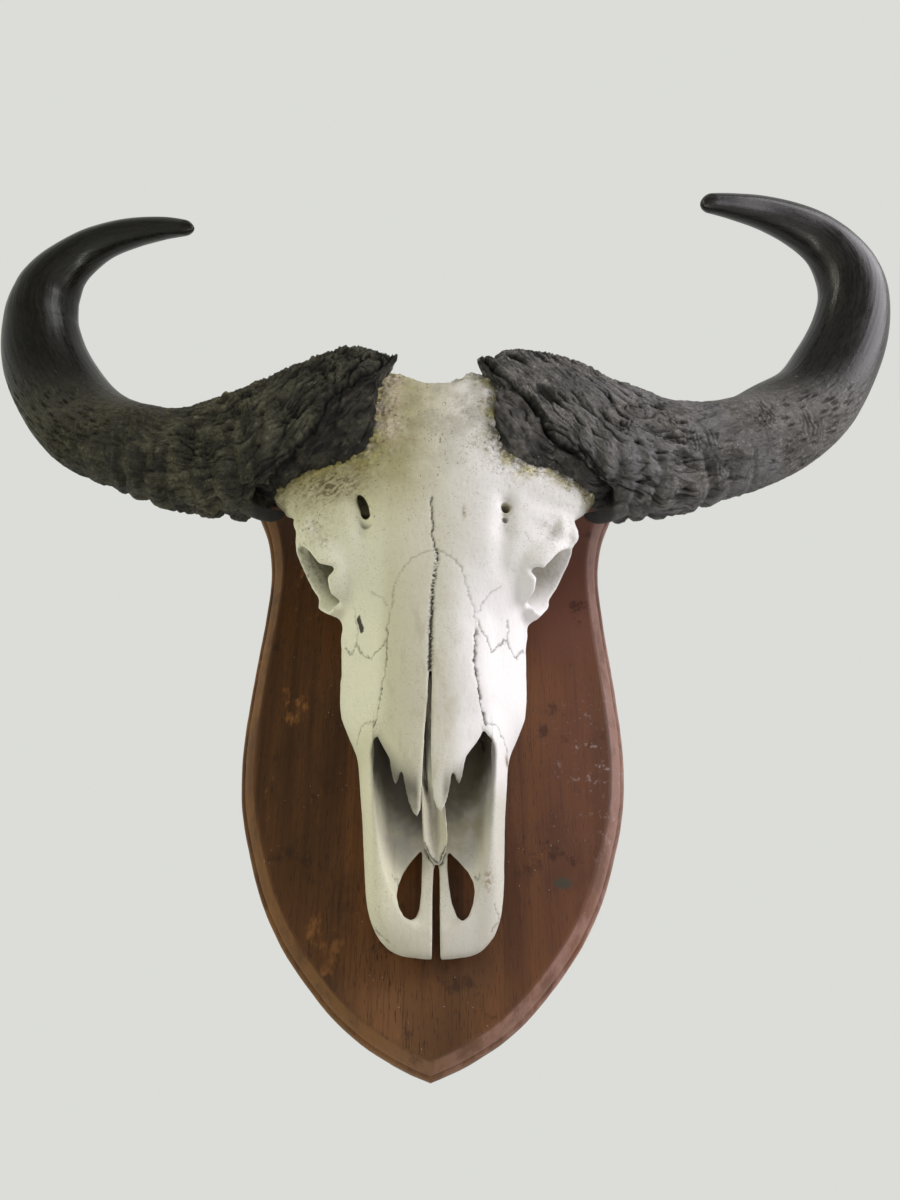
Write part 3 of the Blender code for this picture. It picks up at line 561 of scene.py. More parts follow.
BROW_HOLE = ((-.0690, .1440), (-.0674, .1392), (-.0658, .1350), (-.0643, .1312), (-.0629, .1272), (-.0614, .1235), (-.0594, .1208),
             (-.0572, .1206), (-.0562, .1240), (-.0562, .1285), (-.0574, .1335), (-.0598, .1390), (-.0630, .1438), (-.0664, .1458))
# what lies outside the outline under each socket, at 0.100 off the board
BELOW_ORBIT = (
    ((-.0801, .0036), (-.0816, .0232), (-.0831, .0433), (-.0820, .0545), (-.0828, .0590), (-.0850, .0648), (-.0908, .0673), (-.0983, .0705),
     (-.1045, .0745), (-.1090, .0800), (-.1300, .0800), (-.1300, .0036)),
    ((.0830, .0045), (.0837, .0241), (.0849, .0442), (.0843, .0540), (.0850, .0590), (.0884, .0622), (.0940, .0653), (.1000, .0715),
     (.1045, .0765), (.1090, .0830), (.1300, .0830), (.1300, .0045)),
)


def roof(x, z):
    """Height of the upper face of the nasal bones off the board."""
    ridge = float(hermite((-.120, -.0865, -.079, -.060, -.048, -.038, -.015, .020, .050, .075, .095),
                          (.0836, .0976, .1008, .1078, .1124, .1162, .1276, .1414, .1524, .1604, .1664), z)[0, 0])
    fall = float(np.interp(z, (-.09, -.04, .00, .05), (.0150, .0135, .0115, .0110)))
    mid = drift(z) * 0 - .0015 * min(1.0, max(0.0, -z / .11))
    return ridge - fall * (min(abs(x - mid), .056) / .045) ** 2.2


def nasals():
    """The nasal bones: a thin arched roof over the opening, cut to the outline of each bone."""
    shells = []
    for side, outline in zip((-1, 1), NASALS):
        rings = []
        for z in np.linspace(-.118, .094, 130):
            thick = float(np.interp(z, (-.118, -.09, -.04, .0, .03), (.0022, .0026, .0036, .0060, .0085)))
            across = np.linspace(-.058, .054, 41)
            upper = [(x, roof(x, z)) for x in across]
            rings.append([place(x, z, h) for x, h in upper] + [place(x, z, h - thick) for x, h in reversed(upper)])
        plate = loft("nasal", rings, flat_ends=True)
        cut(plate, window("outline", outline, roof, .020, .022), "INTERSECT")
        shells.append(plate)
    return shells


def vomer_and_walls():
    """The gutter in the middle of the nose, open to the front, that ends in a blunt tongue."""
    shells = []
    rows = 60
    for side in (-1, 1):
        rings = []
        for t in np.linspace(0, 1, rows):
            z = -.1415 + .190 * t
            base = .0385 + .018 * t
            tall = .0020 + .0190 * min(1.0, t * 4.5) ** 0.6
            flare = .0012 + .0088 * min(1.0, t * 11.0) ** 0.62 * (1 - .55 * t)
            thick = .0013
            cx = .0042 - .0065 * min(1.0, t * 2.2)
            ring = [
                (cx + side * .0002, base + tall * .34), (cx + side * (flare * .50), base + tall * .60), (cx + side * flare, base + tall),
                (cx + side * (flare + thick * 1.2), base + tall - .0006), (cx + side * (flare * .62 + thick * 1.6), base + tall * .46),
                (cx + side * thick * 1.5, base - .0030), (cx - side * .0004, base - .0030),
            ]
            rings.append([place(x, z, h) for x, h in ring])
        shells.append(loft("vomer", rings, flat_ends=True))
    shells.append(sweep("septum", ((.0035, -.128, .034), (-.0010, -.090, .036), (-.0020, -.040, .040), (-.0010, .040, .050)),
                        ((.0022, .006), (.0016, .010), (.0016, .012), (.002, .014))))
    shells.append(sweep("strip", ((-.0030, .004, .1225), (-.0028, -.010, .1185), (-.0026, -.030, .1080), (-.0022, -.048, .0915), (-.0016, -.062, .0785), (-.0006, -.080, .0625),
                                  (.0008, -.098, .0515), (.0020, -.112, .0430)),
                        ((.0036, .0036), (.0040, .0040), (.0042, .0040), (.0042, .0040), (.0040, .0038), (.0036, .0034), (.0028, .0028), (.0016, .0016))))
    return shells


# Lines on the front of the bone, as (x, z) in metres.
SUTURES = {
    "interfrontal": (0.0010, ((-.0021, .1415), (-.0027, .1324), (-.0020, .1257), (-.0008, .1169), (-.0020, .1081), (-.0002, .1016), (.0020, .0951))),
    "nasofrontal_r": (0.0004, ((.0020, .0951), (-.0036, .0945), (-.0124, .0908), (-.0191, .0888), (-.0256, .0827), (-.0311, .0727), (-.0344, .0669), (-.0343, .0568), (-.0375, .0472), (-.0397, .0355))),
    "nasomaxillary_r": (0.0007, ((-.0397, .0355), (-.0395, .0264), (-.0405, .0116), (-.0422, -.0032), (-.0451, -.0176), (-.0478, -.0296), (-.0500, -.0400))),
    "nasofrontal_l": (0.0004, ((.0020, .0951), (.0054, .0940), (.0143, .0899), (.0232, .0828), (.0265, .0706), (.0311, .0588), (.0355, .0461), (.0367, .0333))),
    "nasomaxillary_l": (0.0012, ((.0367, .0333), (.0368, .0263), (.0356, .0066), (.0379, -.0061), (.0404, -.0206), (.0439, -.0327), (.0451, -.0389))),
    "lacrimal_r": (0.0006, ((-.0809, .0411), (-.0765, .0330), (-.0721, .0304), (-.0681, .0364), (-.0667, .0303), (-.0614, .0224), (-.0548, .0158), (-.0524, .0179), (-.0450, .0214), (-.0405, .0260))),
    "lacrimal_r2": (0.00035, ((-.0681, .0364), (-.0672, .0440), (-.0690, .0520), (-.0705, .0600))),
    "lacrimal_l": (0.0007, ((.0385, .0413), (.0429, .0320), (.0464, .0313), (.0490, .0240), (.0515, .0192), (.0561, .0264), (.0606, .0314), (.0658, .0358), (.0680, .0308), (.0739, .0282), (.0786, .0365), (.0817, .0409))),
    "lacrimal_l2": (0.0005, ((.0655, .0500), (.0662, .0430), (.0658, .0358))),
    "frontolacrimal_l": (0.00035, ((.0378, .0466), (.0401, .0540), (.0468, .0611), (.0577, .0716))),
    "frontolacrimal_r": (0.0003, ((-.0399, .0537), (-.0456, .0606), (-.0547, .0662))),
    "hair_l": (0.0003, ((.0817, .1153), (.0843, .1083))),
    "premaxilla_l": (0.0006, ((.0445, -.0370), (.0474, -.0383), (.0548, -.0376), (.0600, -.0428), (.0657, -.0482), (.0655, -.0600))),
    "premaxilla_r": (0.0005, ((-.0490, -.0370), (-.0530, -.0360), (-.0590, -.0330), (-.0649, -.0342), (-.0673, -.0428))),
    "tongue": (0.0011, ((-.0068, -.1275), (-.0009, -.1362), (.0047, -.1430), (.0085, -.1370), (.0111, -.1292))),
    "bar_l": (0.0006, ((.0662, -.0650), (.0656, -.0706), (.0664, -.0753))),
    "foot_l": (0.0005, ((.0530, -.1738), (.0569, -.1870), (.0500, -.1960))),
    "foot_r": (0.0005, ((-.0567, -.1740), (-.0518, -.1897), (-.0362, -.2051))),
    "floor_r": (0.0005, ((-.0347, -.1499), (-.0303, -.1533), (-.0298, -.1575))),
    "floor_l": (0.0005, ((.0361, -.1514), (.0386, -.1548), (.0408, -.1505))),
}
SLIT = ((-.0663, .0517), (-.0648, .0463), (-.0633, .0418))
# Horn border on the bone, seen from the front, for each side.
BORDER = {
    1: ((.0388, .2899), (.0487, .2778), (.0515, .2687), (.0606, .2599), (.0626, .2468), (.0550, .2224), (.0533, .2109), (.0560, .1981),
        (.0603, .1904), (.0691, .1825), (.0780, .1785), (.0964, .1794), (.1088, .1792), (.1148, .1748), (.1224, .1720), (.1332, .1682), (.1496, .1535)),
    -1: ((-.0386, .2954), (-.0546, .2710), (-.0547, .2313), (-.0538, .2080), (-.0575, .1884), (-.0617, .1820), (-.0707, .1818), (-.0826, .1787),
         (-.0949, .1792), (-.1070, .1758), (-.1164, .1762), (-.1222, .1809), (-.1340, .1793), (-.1417, .1763), (-.1485, .1636), (-.1542, .1563)),
}


def make_bone():
    bone = joined("bone", skull_shells())
    remesh(bone, 0.0024, smoothing=7)
    socket = loft("socket", socket_rings((
        (-0.058, 0.010), (-0.050, 0.020), (-0.034, 0.0275), (-0.016, 0.0300), (0.0, 0.0312), (0.010, 0.0330), (0.022, 0.0360),
    ), squash=0.97))
    cut(bone, mirrored(socket, "socket"))
    cut(bone, socket)
    cut(bone, nose_cutter())
    cut(bone, sweep("choana", ((0, .085, .022), (0, .120, .030), (0, .150, .034)), ((.024, .020), (.022, .016), (.014, .008))))
    cut(bone, sweep("magnum", ((0, .300, .084), (0, .262, .088), (0, .235, .095)), ((.017, .015), (.015, .014), (.010, .009))))
    for side in (-1, 1):
        # optic canal, ear hole and hole of the cheek
        cut(bone, sweep("optic", ((side * .070, .105, .118), (side * .055, .120, .112), (side * .040, .130, .108)), ((.006, .005), (.0045, .004), (.003, .003))))
        cut(bone, sweep("meatus", ((side * .095, .224, .086), (side * .074, .226, .092), (side * .060, .226, .096)), ((.0042, .0042), (.0040, .0040), (.003, .003)), flat_to=(0, 1, 0)))
        cut(bone, sweep("infraorbital", ((side * .090, -.022, .040), (side * .072, -.008, .044), (side * .060, .006, .050)), ((.0065, .0045), (.0050, .0040), (.0040, .0030)), flat_to=(0, 0, 1)))
    for outline in ORBITS:
        cut(bone, window("rim", outline, .150, .030, .036))
    remesh(bone, 0.0017)
    for outline in BELOW_ORBIT:
        cut(bone, window("below", outline, .100, .060, .070))
    remesh(bone, 0.0017)
    # the left brow hole of the picture is one long comma; the other side has two round ones
    cut(bone, window("brow_hole", BROW_HOLE, .182, .014, .040))
    cut(bone, sweep("brow_hole", ((.0632, .1385, .192), (.0626, .1378, .168), (.0620, .1370, .156)), ((.0046, .0058), (.0040, .0050), (.0030, .0034)), flat_to=(0, 1, 0)))
    cut(bone, sweep("brow_hole", ((.0620, .1275, .188), (.0618, .1268, .170), (.0615, .1260, .162)), ((.0026, .0034), (.0024, .0028), (.0018, .0020)), flat_to=(0, 1, 0)))
    # the slit beside the left socket
    cut(bone, sweep("slit", ((-.0670, .0530, .130), (-.0655, .0475, .124), (-.0640, .0425, .120)), ((.0008, .005), (.0014, .006), (.0006, .005))))
    remesh(bone, 0.0017, smoothing=1, factor=0.3)
    # open seam between the nasal bones
    left, right = NASALS[0][:6], NASALS[1][:6]
    seam = [(x - .0003, z) for x, z in left[1:]] + [(x + .0003, z) for x, z in right[:0:-1]]
    cut(bone, window("seam", seam, roof, .020, .022))
    for outline in FISSURES:
        cut(bone, window("fissure", outline, .030, .030, .040))
    cut(bone, window("gap", GAP, .030, .045, .040))
    bone = joined("bone", [bone] + vomer_and_walls() + nasals())
    remesh(bone, BONE_VOXEL, smoothing=2, factor=0.4)
    return bone


def dress_bone(obj):
    """Grooves, holes, rough and stained places, and painted shade in the nose, holes and sockets, written into the
    mesh.
    """
    mesh = obj.data
    p, n = points_of(mesh), normals_of(mesh)
    x, y, z = p.T
    h = -y - SHIELD_THICK
    front = step(0.05, 0.35, -n[:, 1])
    wobble_x = x + 0.0010 * noise(p, 420, 3) + 0.0016 * noise(p, 150, 4)
    wobble_z = z + 0.0010 * noise(p, 420, 5) + 0.0016 * noise(p, 150, 6)
    depth = np.zeros(len(p))
    line_mark = np.zeros(len(p))
    high = h > 0.028
    for name, (width, line) in SUTURES.items():
        d, along, _ = to_line(wobble_x, wobble_z, line)
        fade = 0.65 + 0.35 * noise(np.stack([along, along * 0, along * 0], 1), 300, hash_name(name))
        w = max(width, 0.0006) * 1.0
        strong = np.clip(width / 0.0007, 0.45, 1.4) * fade * front * (high | (h > 0.022) & (z < -.12))
        depth += 0.0013 * bump(d, w * 1.15) * strong
        line_mark = np.maximum(line_mark, bump(d, w * 0.95) * strong)
    # the granular seam between the nasal bones
    seam = ((.0020, .0951), (.0030, .0887), (.0010, .0758), (-.0012, .0611), (-.0014, .0485), (-.0022, .0360), (-.0024, .0226), (-.0030, -.0020))
    d, along, _ = to_line(x + 0.0012 * noise(p, 500, 11), z, seam)
    grain = step(-0.25, 0.35, noise(p, (1100, 1, 800), 12) + 0.5 * step(.02, .06, along))
    depth += 0.0024 * bump(d, 0.0014 + 0.0005 * step(.03, .08, along)) * grain * front
    line_mark = np.maximum(line_mark, 1.25 * bump(d, 0.0016) * grain * front)
    # broad shaping of the forehead and face
    for side in (-1, 1):
        d, _, _ = to_line(x, z, ((side * .064, .142), (side * .0600, .118), (side * .0600, .085)))
        depth += 0.0022 * bump(d, .0085) * front
        d, _, _ = to_line(x, z, ((side * .055, .045), (side * .060, .010), (side * .058, -.020)))
        depth += 0.0012 * bump(d, .009) * front
        d, _, _ = to_line(x, z, ((side * .0480, -.045), (side * .0520, -.100), (side * .0500, -.150)))
        depth -= 0.0006 * bump(d, .005) * front
    # the rim of each brow hole slopes into it
    d, _, _ = to_line(x, z, ((-.0700, .1415), (-.0672, .1330), (-.0640, .1235), (-.0630, .1160)))
    sink = 0.0034 * bump(d, .0075) * (h > .12)
    d, _, _ = to_line(x, z, ((.0630, .1400), (.0625, .1270), (.0615, .1160)))
    sink = sink + 0.0026 * bump(d, .0090) * (h > .12)
    border = np.full(len(p), 9.0)
    for side in (-1, 1):
        d, _, _ = to_line(x, z, BORDER[side])
        border = np.minimum(border, d)
    up = step(0.140, 0.175, z) * (h > 0.10)
    near = bump(border, 0.016) * up
    rough = np.clip(near + 0.7 * bump(border, .034) * up * step(-0.2, 0.5, noise(p, 60, 20)), 0, 1)
    left_rough = bump(np.hypot((x + .100) / .034, (z - .158) / .014), 1.0) * front
    rim_rough = np.where(x > 0, 0.35, 0.7) * bump(np.hypot((np.abs(x) - .108) / .020, (z - .118) / .018), 1.0) * front
    rough = np.clip(rough + left_rough + rim_rough, 0, 1)
    tilt = np.radians(24)
    lie = np.stack([x * math.cos(tilt) + z * math.sin(tilt), y, z * math.cos(tilt) - x * math.sin(tilt)], 1)
    streak = fbm(lie, (75, 75, 260), 4, seed=24)
    depth += 0.0019 * rough * fbm(p, 150, 4, seed=21) + 0.0007 * rough * np.abs(noise(p, 420, 22))
    depth += 0.0034 * left_rough * streak + 0.0022 * near * step(.10, .03, np.abs(x + .045)) * streak
    fringe = bump(border, 0.0055) * up
    depth += 0.0026 * fringe * fbm(p, 300, 3, seed=25)
    spur = step(.126, .140, np.abs(x)) * step(.190, .176, z) * (h > .08)
    depth += spur * (0.0030 * fbm(p, (90, 90, 190), 3, seed=29) + 0.0014 * fbm(p, 380, 2, seed=30) + 0.0010)
    edge = step(.262, .272, z) * (h > .13)
    depth += edge * (0.0034 * fbm(p, 95, 3, seed=27) + 0.0016 * fbm(p, 330, 2, seed=28) + 0.0016)
    pit, own = cells(p, 210, 23)
    pitted = step(0.34, 0.12, pit) * (own > 0.86) * (0.25 + rough) * step(0.09, 0.16, z) * front
    depth += 0.0016 * pitted
    fine_pit, fine_own = cells(p, 390, 26)
    fine_pitted = step(0.36, 0.16, fine_pit) * (fine_own > 0.74) * np.clip(rough * 1.3 + 0.35 * step(.16, .24, z), 0, 1) * front
    depth += 0.0008 * fine_pitted
    # all over: the faint unevenness of bone and the grain of its fibres
    depth += 0.00035 * fbm(p, 60, 3, seed=31) + 0.00012 * fbm(p, (420, 420, 110), 3, seed=32)
    jag = step(.003, .0, np.abs(h - .156)) * 0
    moved = p - n * (depth + jag)[:, None]
    moved[:, 1] += sink
    # what touches the shield stays off it
    moved[:, 1] = np.minimum(moved[:, 1], -(SHIELD_THICK + 0.0005))
    low, high_corner = np.array(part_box("skull"))
    moved = np.clip(moved, low + 0.0001, high_corner - 0.0001)
    move_points(mesh, moved)

    gutter = step(.0125, .0085, np.abs(x - drift(0) + .0015)) * (h > .045)
    # painted shade inside the nose above a slanting line, lower in the middle than at the outer wall
    start = np.interp(np.abs(x - .001), (.008, .024, .040, .050), (-.128, -.122, -.108, -.094)) + np.where(x > 0, .010, .0)
    start = start + 0.006 * noise(p, 60, 53) + 0.004 * noise(p, 160, 54)
    nose_shade = step(-.003, .008, .100 - h) * step(-.004, .034, z - start) * (np.abs(x) < .0515) * step(.145, .09, z) * (h > .03)
    nose_shade = nose_shade * (1 - 0.95 * gutter * step(-.030, -.055, z))
    # painted shade under the roof of the nasal bones, along the middle of the gutter
    over = np.interp(z, [row[0] for row in SECTIONS], [row[1][1] for row in SECTIONS])
    below = step(.0018, .0036, over - h) * step(.0070, .0050, np.abs(x - drift(0) + .0018)) * step(-.124, -.100, z) * step(.020, .010, z) * (h > .040)
    nose_shade = np.maximum(nose_shade, below * np.interp(z, (-.112, -.085, -.045), (.25, .58, .92)))
    cx, cz, ch = ORBIT_CENTRE
    # painted shade inside the brow holes and deep in the eye sockets
    inside = np.zeros(len(p))
    for line, reach in ((((-.0655, .1400), (-.0612, .1300), (-.0588, .1235)), .0036), (((.0632, .1400), (.0630, .1370)), .0050), (((.0620, .1276), (.0620, .1272)), .0030)):
        d, _, _ = to_line(x, z, line)
        rim = (d > reach + .002) & (d < reach + .005) & (front > .9) & (h > .15)
        level = float(np.median(h[rim])) if rim.any() else .180
        inside = np.maximum(inside, step(reach + .0040, reach + .0020, d) * step(.0006, .0050, level - h) * (h > .10) * (0.7 if reach == .0030 else 1.5))
    for side in (-1, 1):
        dx, dz, dh = side * x - cx, z - cz, h - ch
        out = dx * math.cos(ORBIT_FORWARD) - dz * math.sin(ORBIT_FORWARD)
        away = np.sqrt(np.maximum(dx**2 + dz**2 + dh**2 - out**2, 0))
        inside = np.maximum(inside, step(.0335, .0300, away) * step(-.001, -.016, out))
    pores = step(0.40, 0.16, cells(p, 330, 41)[0]) * (cells(p, 330, 41)[1] > 0.55)
    zone = step(.10, .20, z) * front * (0.35 + 0.65 * step(-.2, .5, noise(p, 45, 42)))
    pores = np.maximum(pores * np.clip(zone * 0.75 + rough, 0, 1), 0.8 * np.maximum(pitted, fine_pitted))
    dirt = np.clip(rough * (0.35 + 0.9 * step(-.1, .5, fbm(p, 110, 3, seed=43))), 0, 1)
    dirt = np.maximum(dirt, left_rough * step(-.10, .22, streak))
    root = fbm(lie + 0.004 * np.stack([noise(p, 60, 56), 0 * x, noise(p, 60, 57)], 1), (95, 95, 380), 4, seed=58)
    root_zone = bump(np.hypot((x + .090) / .022, (z - .157) / .012), 1.0) * front
    dirt = np.maximum(dirt, 1.2 * root_zone * step(.02, .20, root))
    roots = root_zone * step(.02, .12, root)
    dirt = np.maximum(dirt, 0.8 * bump(np.hypot((x + .106) / .014, (z - .132) / .010), 1.0) * front * step(-.2, .2, fbm(p, 130, 3, seed=48)))
    dirt = np.maximum(dirt, 0.55 * rim_rough * step(0, .3, fbm(p, 200, 3, seed=49)))
    dirt = np.maximum(dirt, np.where(x > 0, 1.3, 0.9) * fringe * step(-.10, .25, fbm(p, 260, 2, seed=50)))
    # darker along the border of the animal's left horn
    dirt = np.maximum(dirt, (x > 0) * 0.9 * bump(border, .0095) * up * step(-.3, .2, noise(p, 70, 59)))
    yellow = np.clip(bump(border, .012) * up * (1.0 + 0.4 * (x > 0)), 0, 1) * step(-.35, .25, noise(p, 80, 45))
    rust = bump(np.hypot((x - .0264) / .0016, (z - .1282) / .0048), 1.0) * step(-.6, .1, noise(p, 500, 46))
    rust = np.maximum(rust, bump(np.hypot((x - .0478) / .0042, (z + .1565) / .0075), 1.0) * step(-.1, .2, noise(p, (450, 1, 300), 47)) * (h < .06) * .8)
    rust = np.maximum(rust, bump(np.hypot((x - .0655) / .0022, (z + .0565) / .0040), 1.0) * bump(h - .056, .016))
    # the open slit beside the animal's right socket, painted dark as shade, and the painted shade under the horns
    # beside the pedicles
    d, _, _ = to_line(x, z, SLIT)
    line_mark = np.maximum(line_mark, 1.3 * step(.0021, .0009, d + .0006 * noise(p, 500, 52)) * front)
    inside = np.maximum(inside, 1.5 * step(.133, .141, np.abs(x)) * step(-.70, -.88, n[:, 2]) * (h > .08))
    mark(mesh, "line", np.clip(line_mark, 0, 1))
    mark(mesh, "roots", np.clip(roots, 0, 1))
    mark(mesh, "dirt", dirt)
    mark(mesh, "yellow", yellow)
    mark(mesh, "pores", np.clip(pores, 0, 1))
    mark(mesh, "deep", np.clip(nose_shade, 0, 1))
    # painted shade in the holes and sockets, stronger on the animal's right
    mark(mesh, "hollow", np.clip(inside * np.where(x < 0, 0.92, 0.64), 0, 1))
    # the bone darker along the horn borders, most beside the animal's left horn
    grime = bump(border, .0085) * up * np.where(x > 0, 1.0, 0.45) * step(-.35, .15, noise(p, 110, 60)) * step(.275, .262, z)
    mark(mesh, "grime", np.clip(grime, 0, 1))
    mark(mesh, "sponge", np.clip(step(-.022, -.038, x) * step(.186, .205, z) * bump(border, .030) * (1.0 + 0.5 * noise(p, 60, 51)), 0, 1))
    mark(mesh, "rust", np.clip(rust, 0, 1))
    mark(mesh, "rough", rough)


def hash_name(name):
    return sum(ord(c) * (k + 7) for k, c in enumerate(name)) % 9973


def make_teeth():
    """Cheek teeth: ridged columns, six on each side."""
    lengths = (0.016, 0.018, 0.018, 0.025, 0.028, 0.030)
    objects = []
    for side in (-1, 1):
        z = -0.036
        for k, length in enumerate(lengths):
            mid = z + length / 2
            bend = 0.0585 + 0.007 * math.sin(math.pi * (mid + 0.036) / 0.15)
            half = 0.0080 + 0.0006 * k
            lobes = 1 if k < 3 else 2
            rings = []
            for t in np.linspace(0, 1, 14):
                h = 0.0007 + 0.033 * t
                grow = 0.93 + 0.07 * math.sin(math.pi * min(1, t * 1.6)) - 0.06 * t
                ring = []
                for j in range(64):
                    a = 2 * math.pi * j / 64
                    c, s = math.cos(a), math.sin(a)
                    u = math.copysign(abs(c) ** 0.5, c) * half
                    v = math.copysign(abs(s) ** 0.5, s) * (length * 0.5 - 0.0004)
                    # pillars on the outer wall, lobes on the inner one
                    fold = 0.0011 * math.cos(v / length * 2 * math.pi * (lobes + 1)) * (1 if c > 0 else 0.8)
                    u += math.copysign(1, c) * fold * abs(c) ** 0.5
                    ring.append(place(side * (bend + u * grow), mid + v * grow, h))
                rings.append(ring)
            objects.append(loft("tooth", rings))
            z += length
    teeth = joined("cheek_teeth", objects)
    p, n = points_of(teeth.data), normals_of(teeth.data)
    p -= n * (0.00025 * fbm(p, (300, 60, 300), 3, seed=61))[:, None]
    p[:, 1] = np.minimum(p[:, 1], -(SHIELD_THICK + 0.0005))
    move_points(teeth.data, p)
    teeth.data.shade_smooth()
    return teeth


# --------------------------------------------------------------------- horns
HORN_LEFT = (
    (.0400, .2855, .1980, .0140, .0090, -24),
    (.0455, .2800, .1960, .0270, .0150, -12),
    (.0505, .2670, .1935, .0580, .0210, -4),
    (.0545, .2500, .1925, .0960, .0280, -1),
    (.0620, .2475, .1890, .1180, .0360, -1),
    (.0840, .2480, .1800, .1350, .0490, 0),
    (.1130, .2470, .1680, .1420, .0660, 0),
    (.1410, .2380, .1580, .1440, .0780, 2),
    (.1660, .2280, .1480, .1470, .0850, 3),
    (.1970, .2250, .1390, .1340, .0870, 1),
    (.2300, .2280, .1320, .1180, .0850, -7),
    (.2690, .2395, .1270, .1030, .0820, -15),
    (.3100, .2580, .1180, .0980, .0790, -26),
    (.3480, .2830, .1140, .0990, .0770, -35),
    (.3840, .3110, .1170, .0910, .0740, -44),
    (.4110, .3500, .1260, .0850, .0700, -60),
    (.4290, .3870, .1380, .0795, .0660, -76),
    (.4360, .4220, .1520, .0730, .0610, -94),
    (.4310, .4460, .1630, .0670, .0560, -114),
    (.4160, .4650, .1750, .0560, .0510, -134),
    (.3970, .4770, .1850, .0470, .0460, -154),
    (.3700, .4820, .1970, .0400, .0405, -174),
    (.3350, .4810, .2110, .0310, .0330, -186),
    (.2990, .4730, .2250, .0240, .0250, -194),
    (.2730, .4660, .2340, .0188, .0190, -198),
    (.2620, .4605, .2380, .0150, .0150, -198),
)
HORN_RIGHT = (
    (.0360, .2890, .1980, .0150, .0090, -26),
    (.0425, .2815, .1960, .0290, .0150, -14),
    (.0490, .2690, .1940, .0600, .0210, -6),
    (.0535, .2510, .1925, .0980, .0280, -2),
    (.0610, .2475, .1890, .1200, .0360, -2),
    (.0830, .2480, .1800, .1370, .0500, -3),
    (.1170, .2420, .1680, .1360, .0660, -3),
    (.1450, .2320, .1580, .1380, .0780, -1),
    (.1700, .2215, .1480, .1360, .0850, 1),
    (.2040, .2185, .1390, .1220, .0850, -3),
    (.2360, .2210, .1320, .1050, .0830, -9),
    (.2640, .2285, .1280, .0940, .0810, -17),
    (.3070, .2500, .1180, .0900, .0780, -30),
    (.3440, .2730, .1140, .0930, .0750, -38),
    (.3740, .3060, .1170, .0910, .0720, -50),
    (.3990, .3490, .1260, .0850, .0680, -68),
    (.4080, .3900, .1400, .0750, .0620, -90),
    (.4020, .4160, .1550, .0650, .0560, -110),
    (.3880, .4320, .1680, .0520, .0490, -130),
    (.3660, .4450, .1800, .0400, .0420, -156),
    (.3410, .4490, .1930, .0320, .0355, -174),
    (.3070, .4470, .2070, .0260, .0300, -188),
    (.2700, .4380, .2210, .0200, .0222, -198),
    (.2440, .4270, .2310, .0146, .0150, -205),
    (.2350, .4215, .2350, .0098, .0102, -206),
)


def horn_grid(stations, side, rows, count, shrink=0.0):
    """Points (rows, count, 3) of a horn's surface, distance along it and angle round it.
    Angle 0 is the upper edge, and a quarter turn on is the front."""
    table = np.array(stations)
    run = np.concatenate([[0], np.cumsum(np.linalg.norm(np.diff(table[:, :3], axis=0), axis=1))])
    # closer rows where the horn is rough
    share = np.linspace(0, 1, rows)
    total = run[-1]
    at = np.interp(share, (0, 0.012, 0.65, 0.985, 1), (0, 0.004, 0.37, total - 0.006, total))
    values = hermite(run, table, at)
    centre, breadth, thick, turn = values[:, :3], values[:, 3], values[:, 4], np.radians(values[:, 5])
    tangent = np.gradient(centre, at, axis=0)
    tangent /= np.linalg.norm(tangent, axis=1)[:, None]
    across = np.stack([np.sin(turn), np.cos(turn), np.zeros(rows)], 1)
    face = np.array((0.0, 0.0, 1.0)) - tangent * tangent[:, 2:]
    face /= np.linalg.norm(face, axis=1)[:, None]
    # both ends are blunt and round
    ends = np.minimum(at / 0.005, (run[-1] - at) / 0.013)
    dome = np.sqrt(np.clip(1 - (1 - np.clip(ends, 0, 1)) ** 2, 0.004, 1))
    a = np.maximum(breadth / 2 - shrink, 0.0004) * dome
    b = np.maximum(thick / 2 - shrink, 0.0004) * dome
    power = 2.0 + 0.4 * np.clip((breadth / 2 - 0.04) / 0.03, 0, 1)
    angle = 2 * np.pi * (np.arange(count) + 0.5) / count
    c, s = np.cos(angle)[None, :], np.sin(angle)[None, :]
    e = (2 / power)[:, None]
    u = np.sign(c) * np.abs(c) ** e * a[:, None]
    v = np.sign(s) * np.abs(s) ** e * b[:, None]
    q = centre[:, None, :] + across[:, None, :] * u[..., None] + face[:, None, :] * v[..., None]
    pts = np.stack([side * q[..., 0], -(SHIELD_THICK + q[..., 2]), q[..., 1]], -1)
    return pts, at, angle


# The deep crack where the outer, flaking layer of each boss ends, as (x, z).
CRACK = {
    1: ((.046, .285), (.063, .258), (.077, .247), (.088, .239), (.095, .219), (.108, .197), (.127, .186), (.143, .172), (.161, .154)),
    -1: ((-.040, .286), (-.051, .277), (-.069, .261), (-.082, .251), (-.098, .237), (-.106, .211), (-.118, .193), (-.131, .180), (-.150, .160)),
}


SPLIT = {
    1: ((.092, .226), (.101, .206), (.110, .196), (.121, .190), (.128, .187)),
    -1: ((-.060, .292), (-.075, .276), (-.078, .262), (-.088, .240), (-.089, .222)),
}


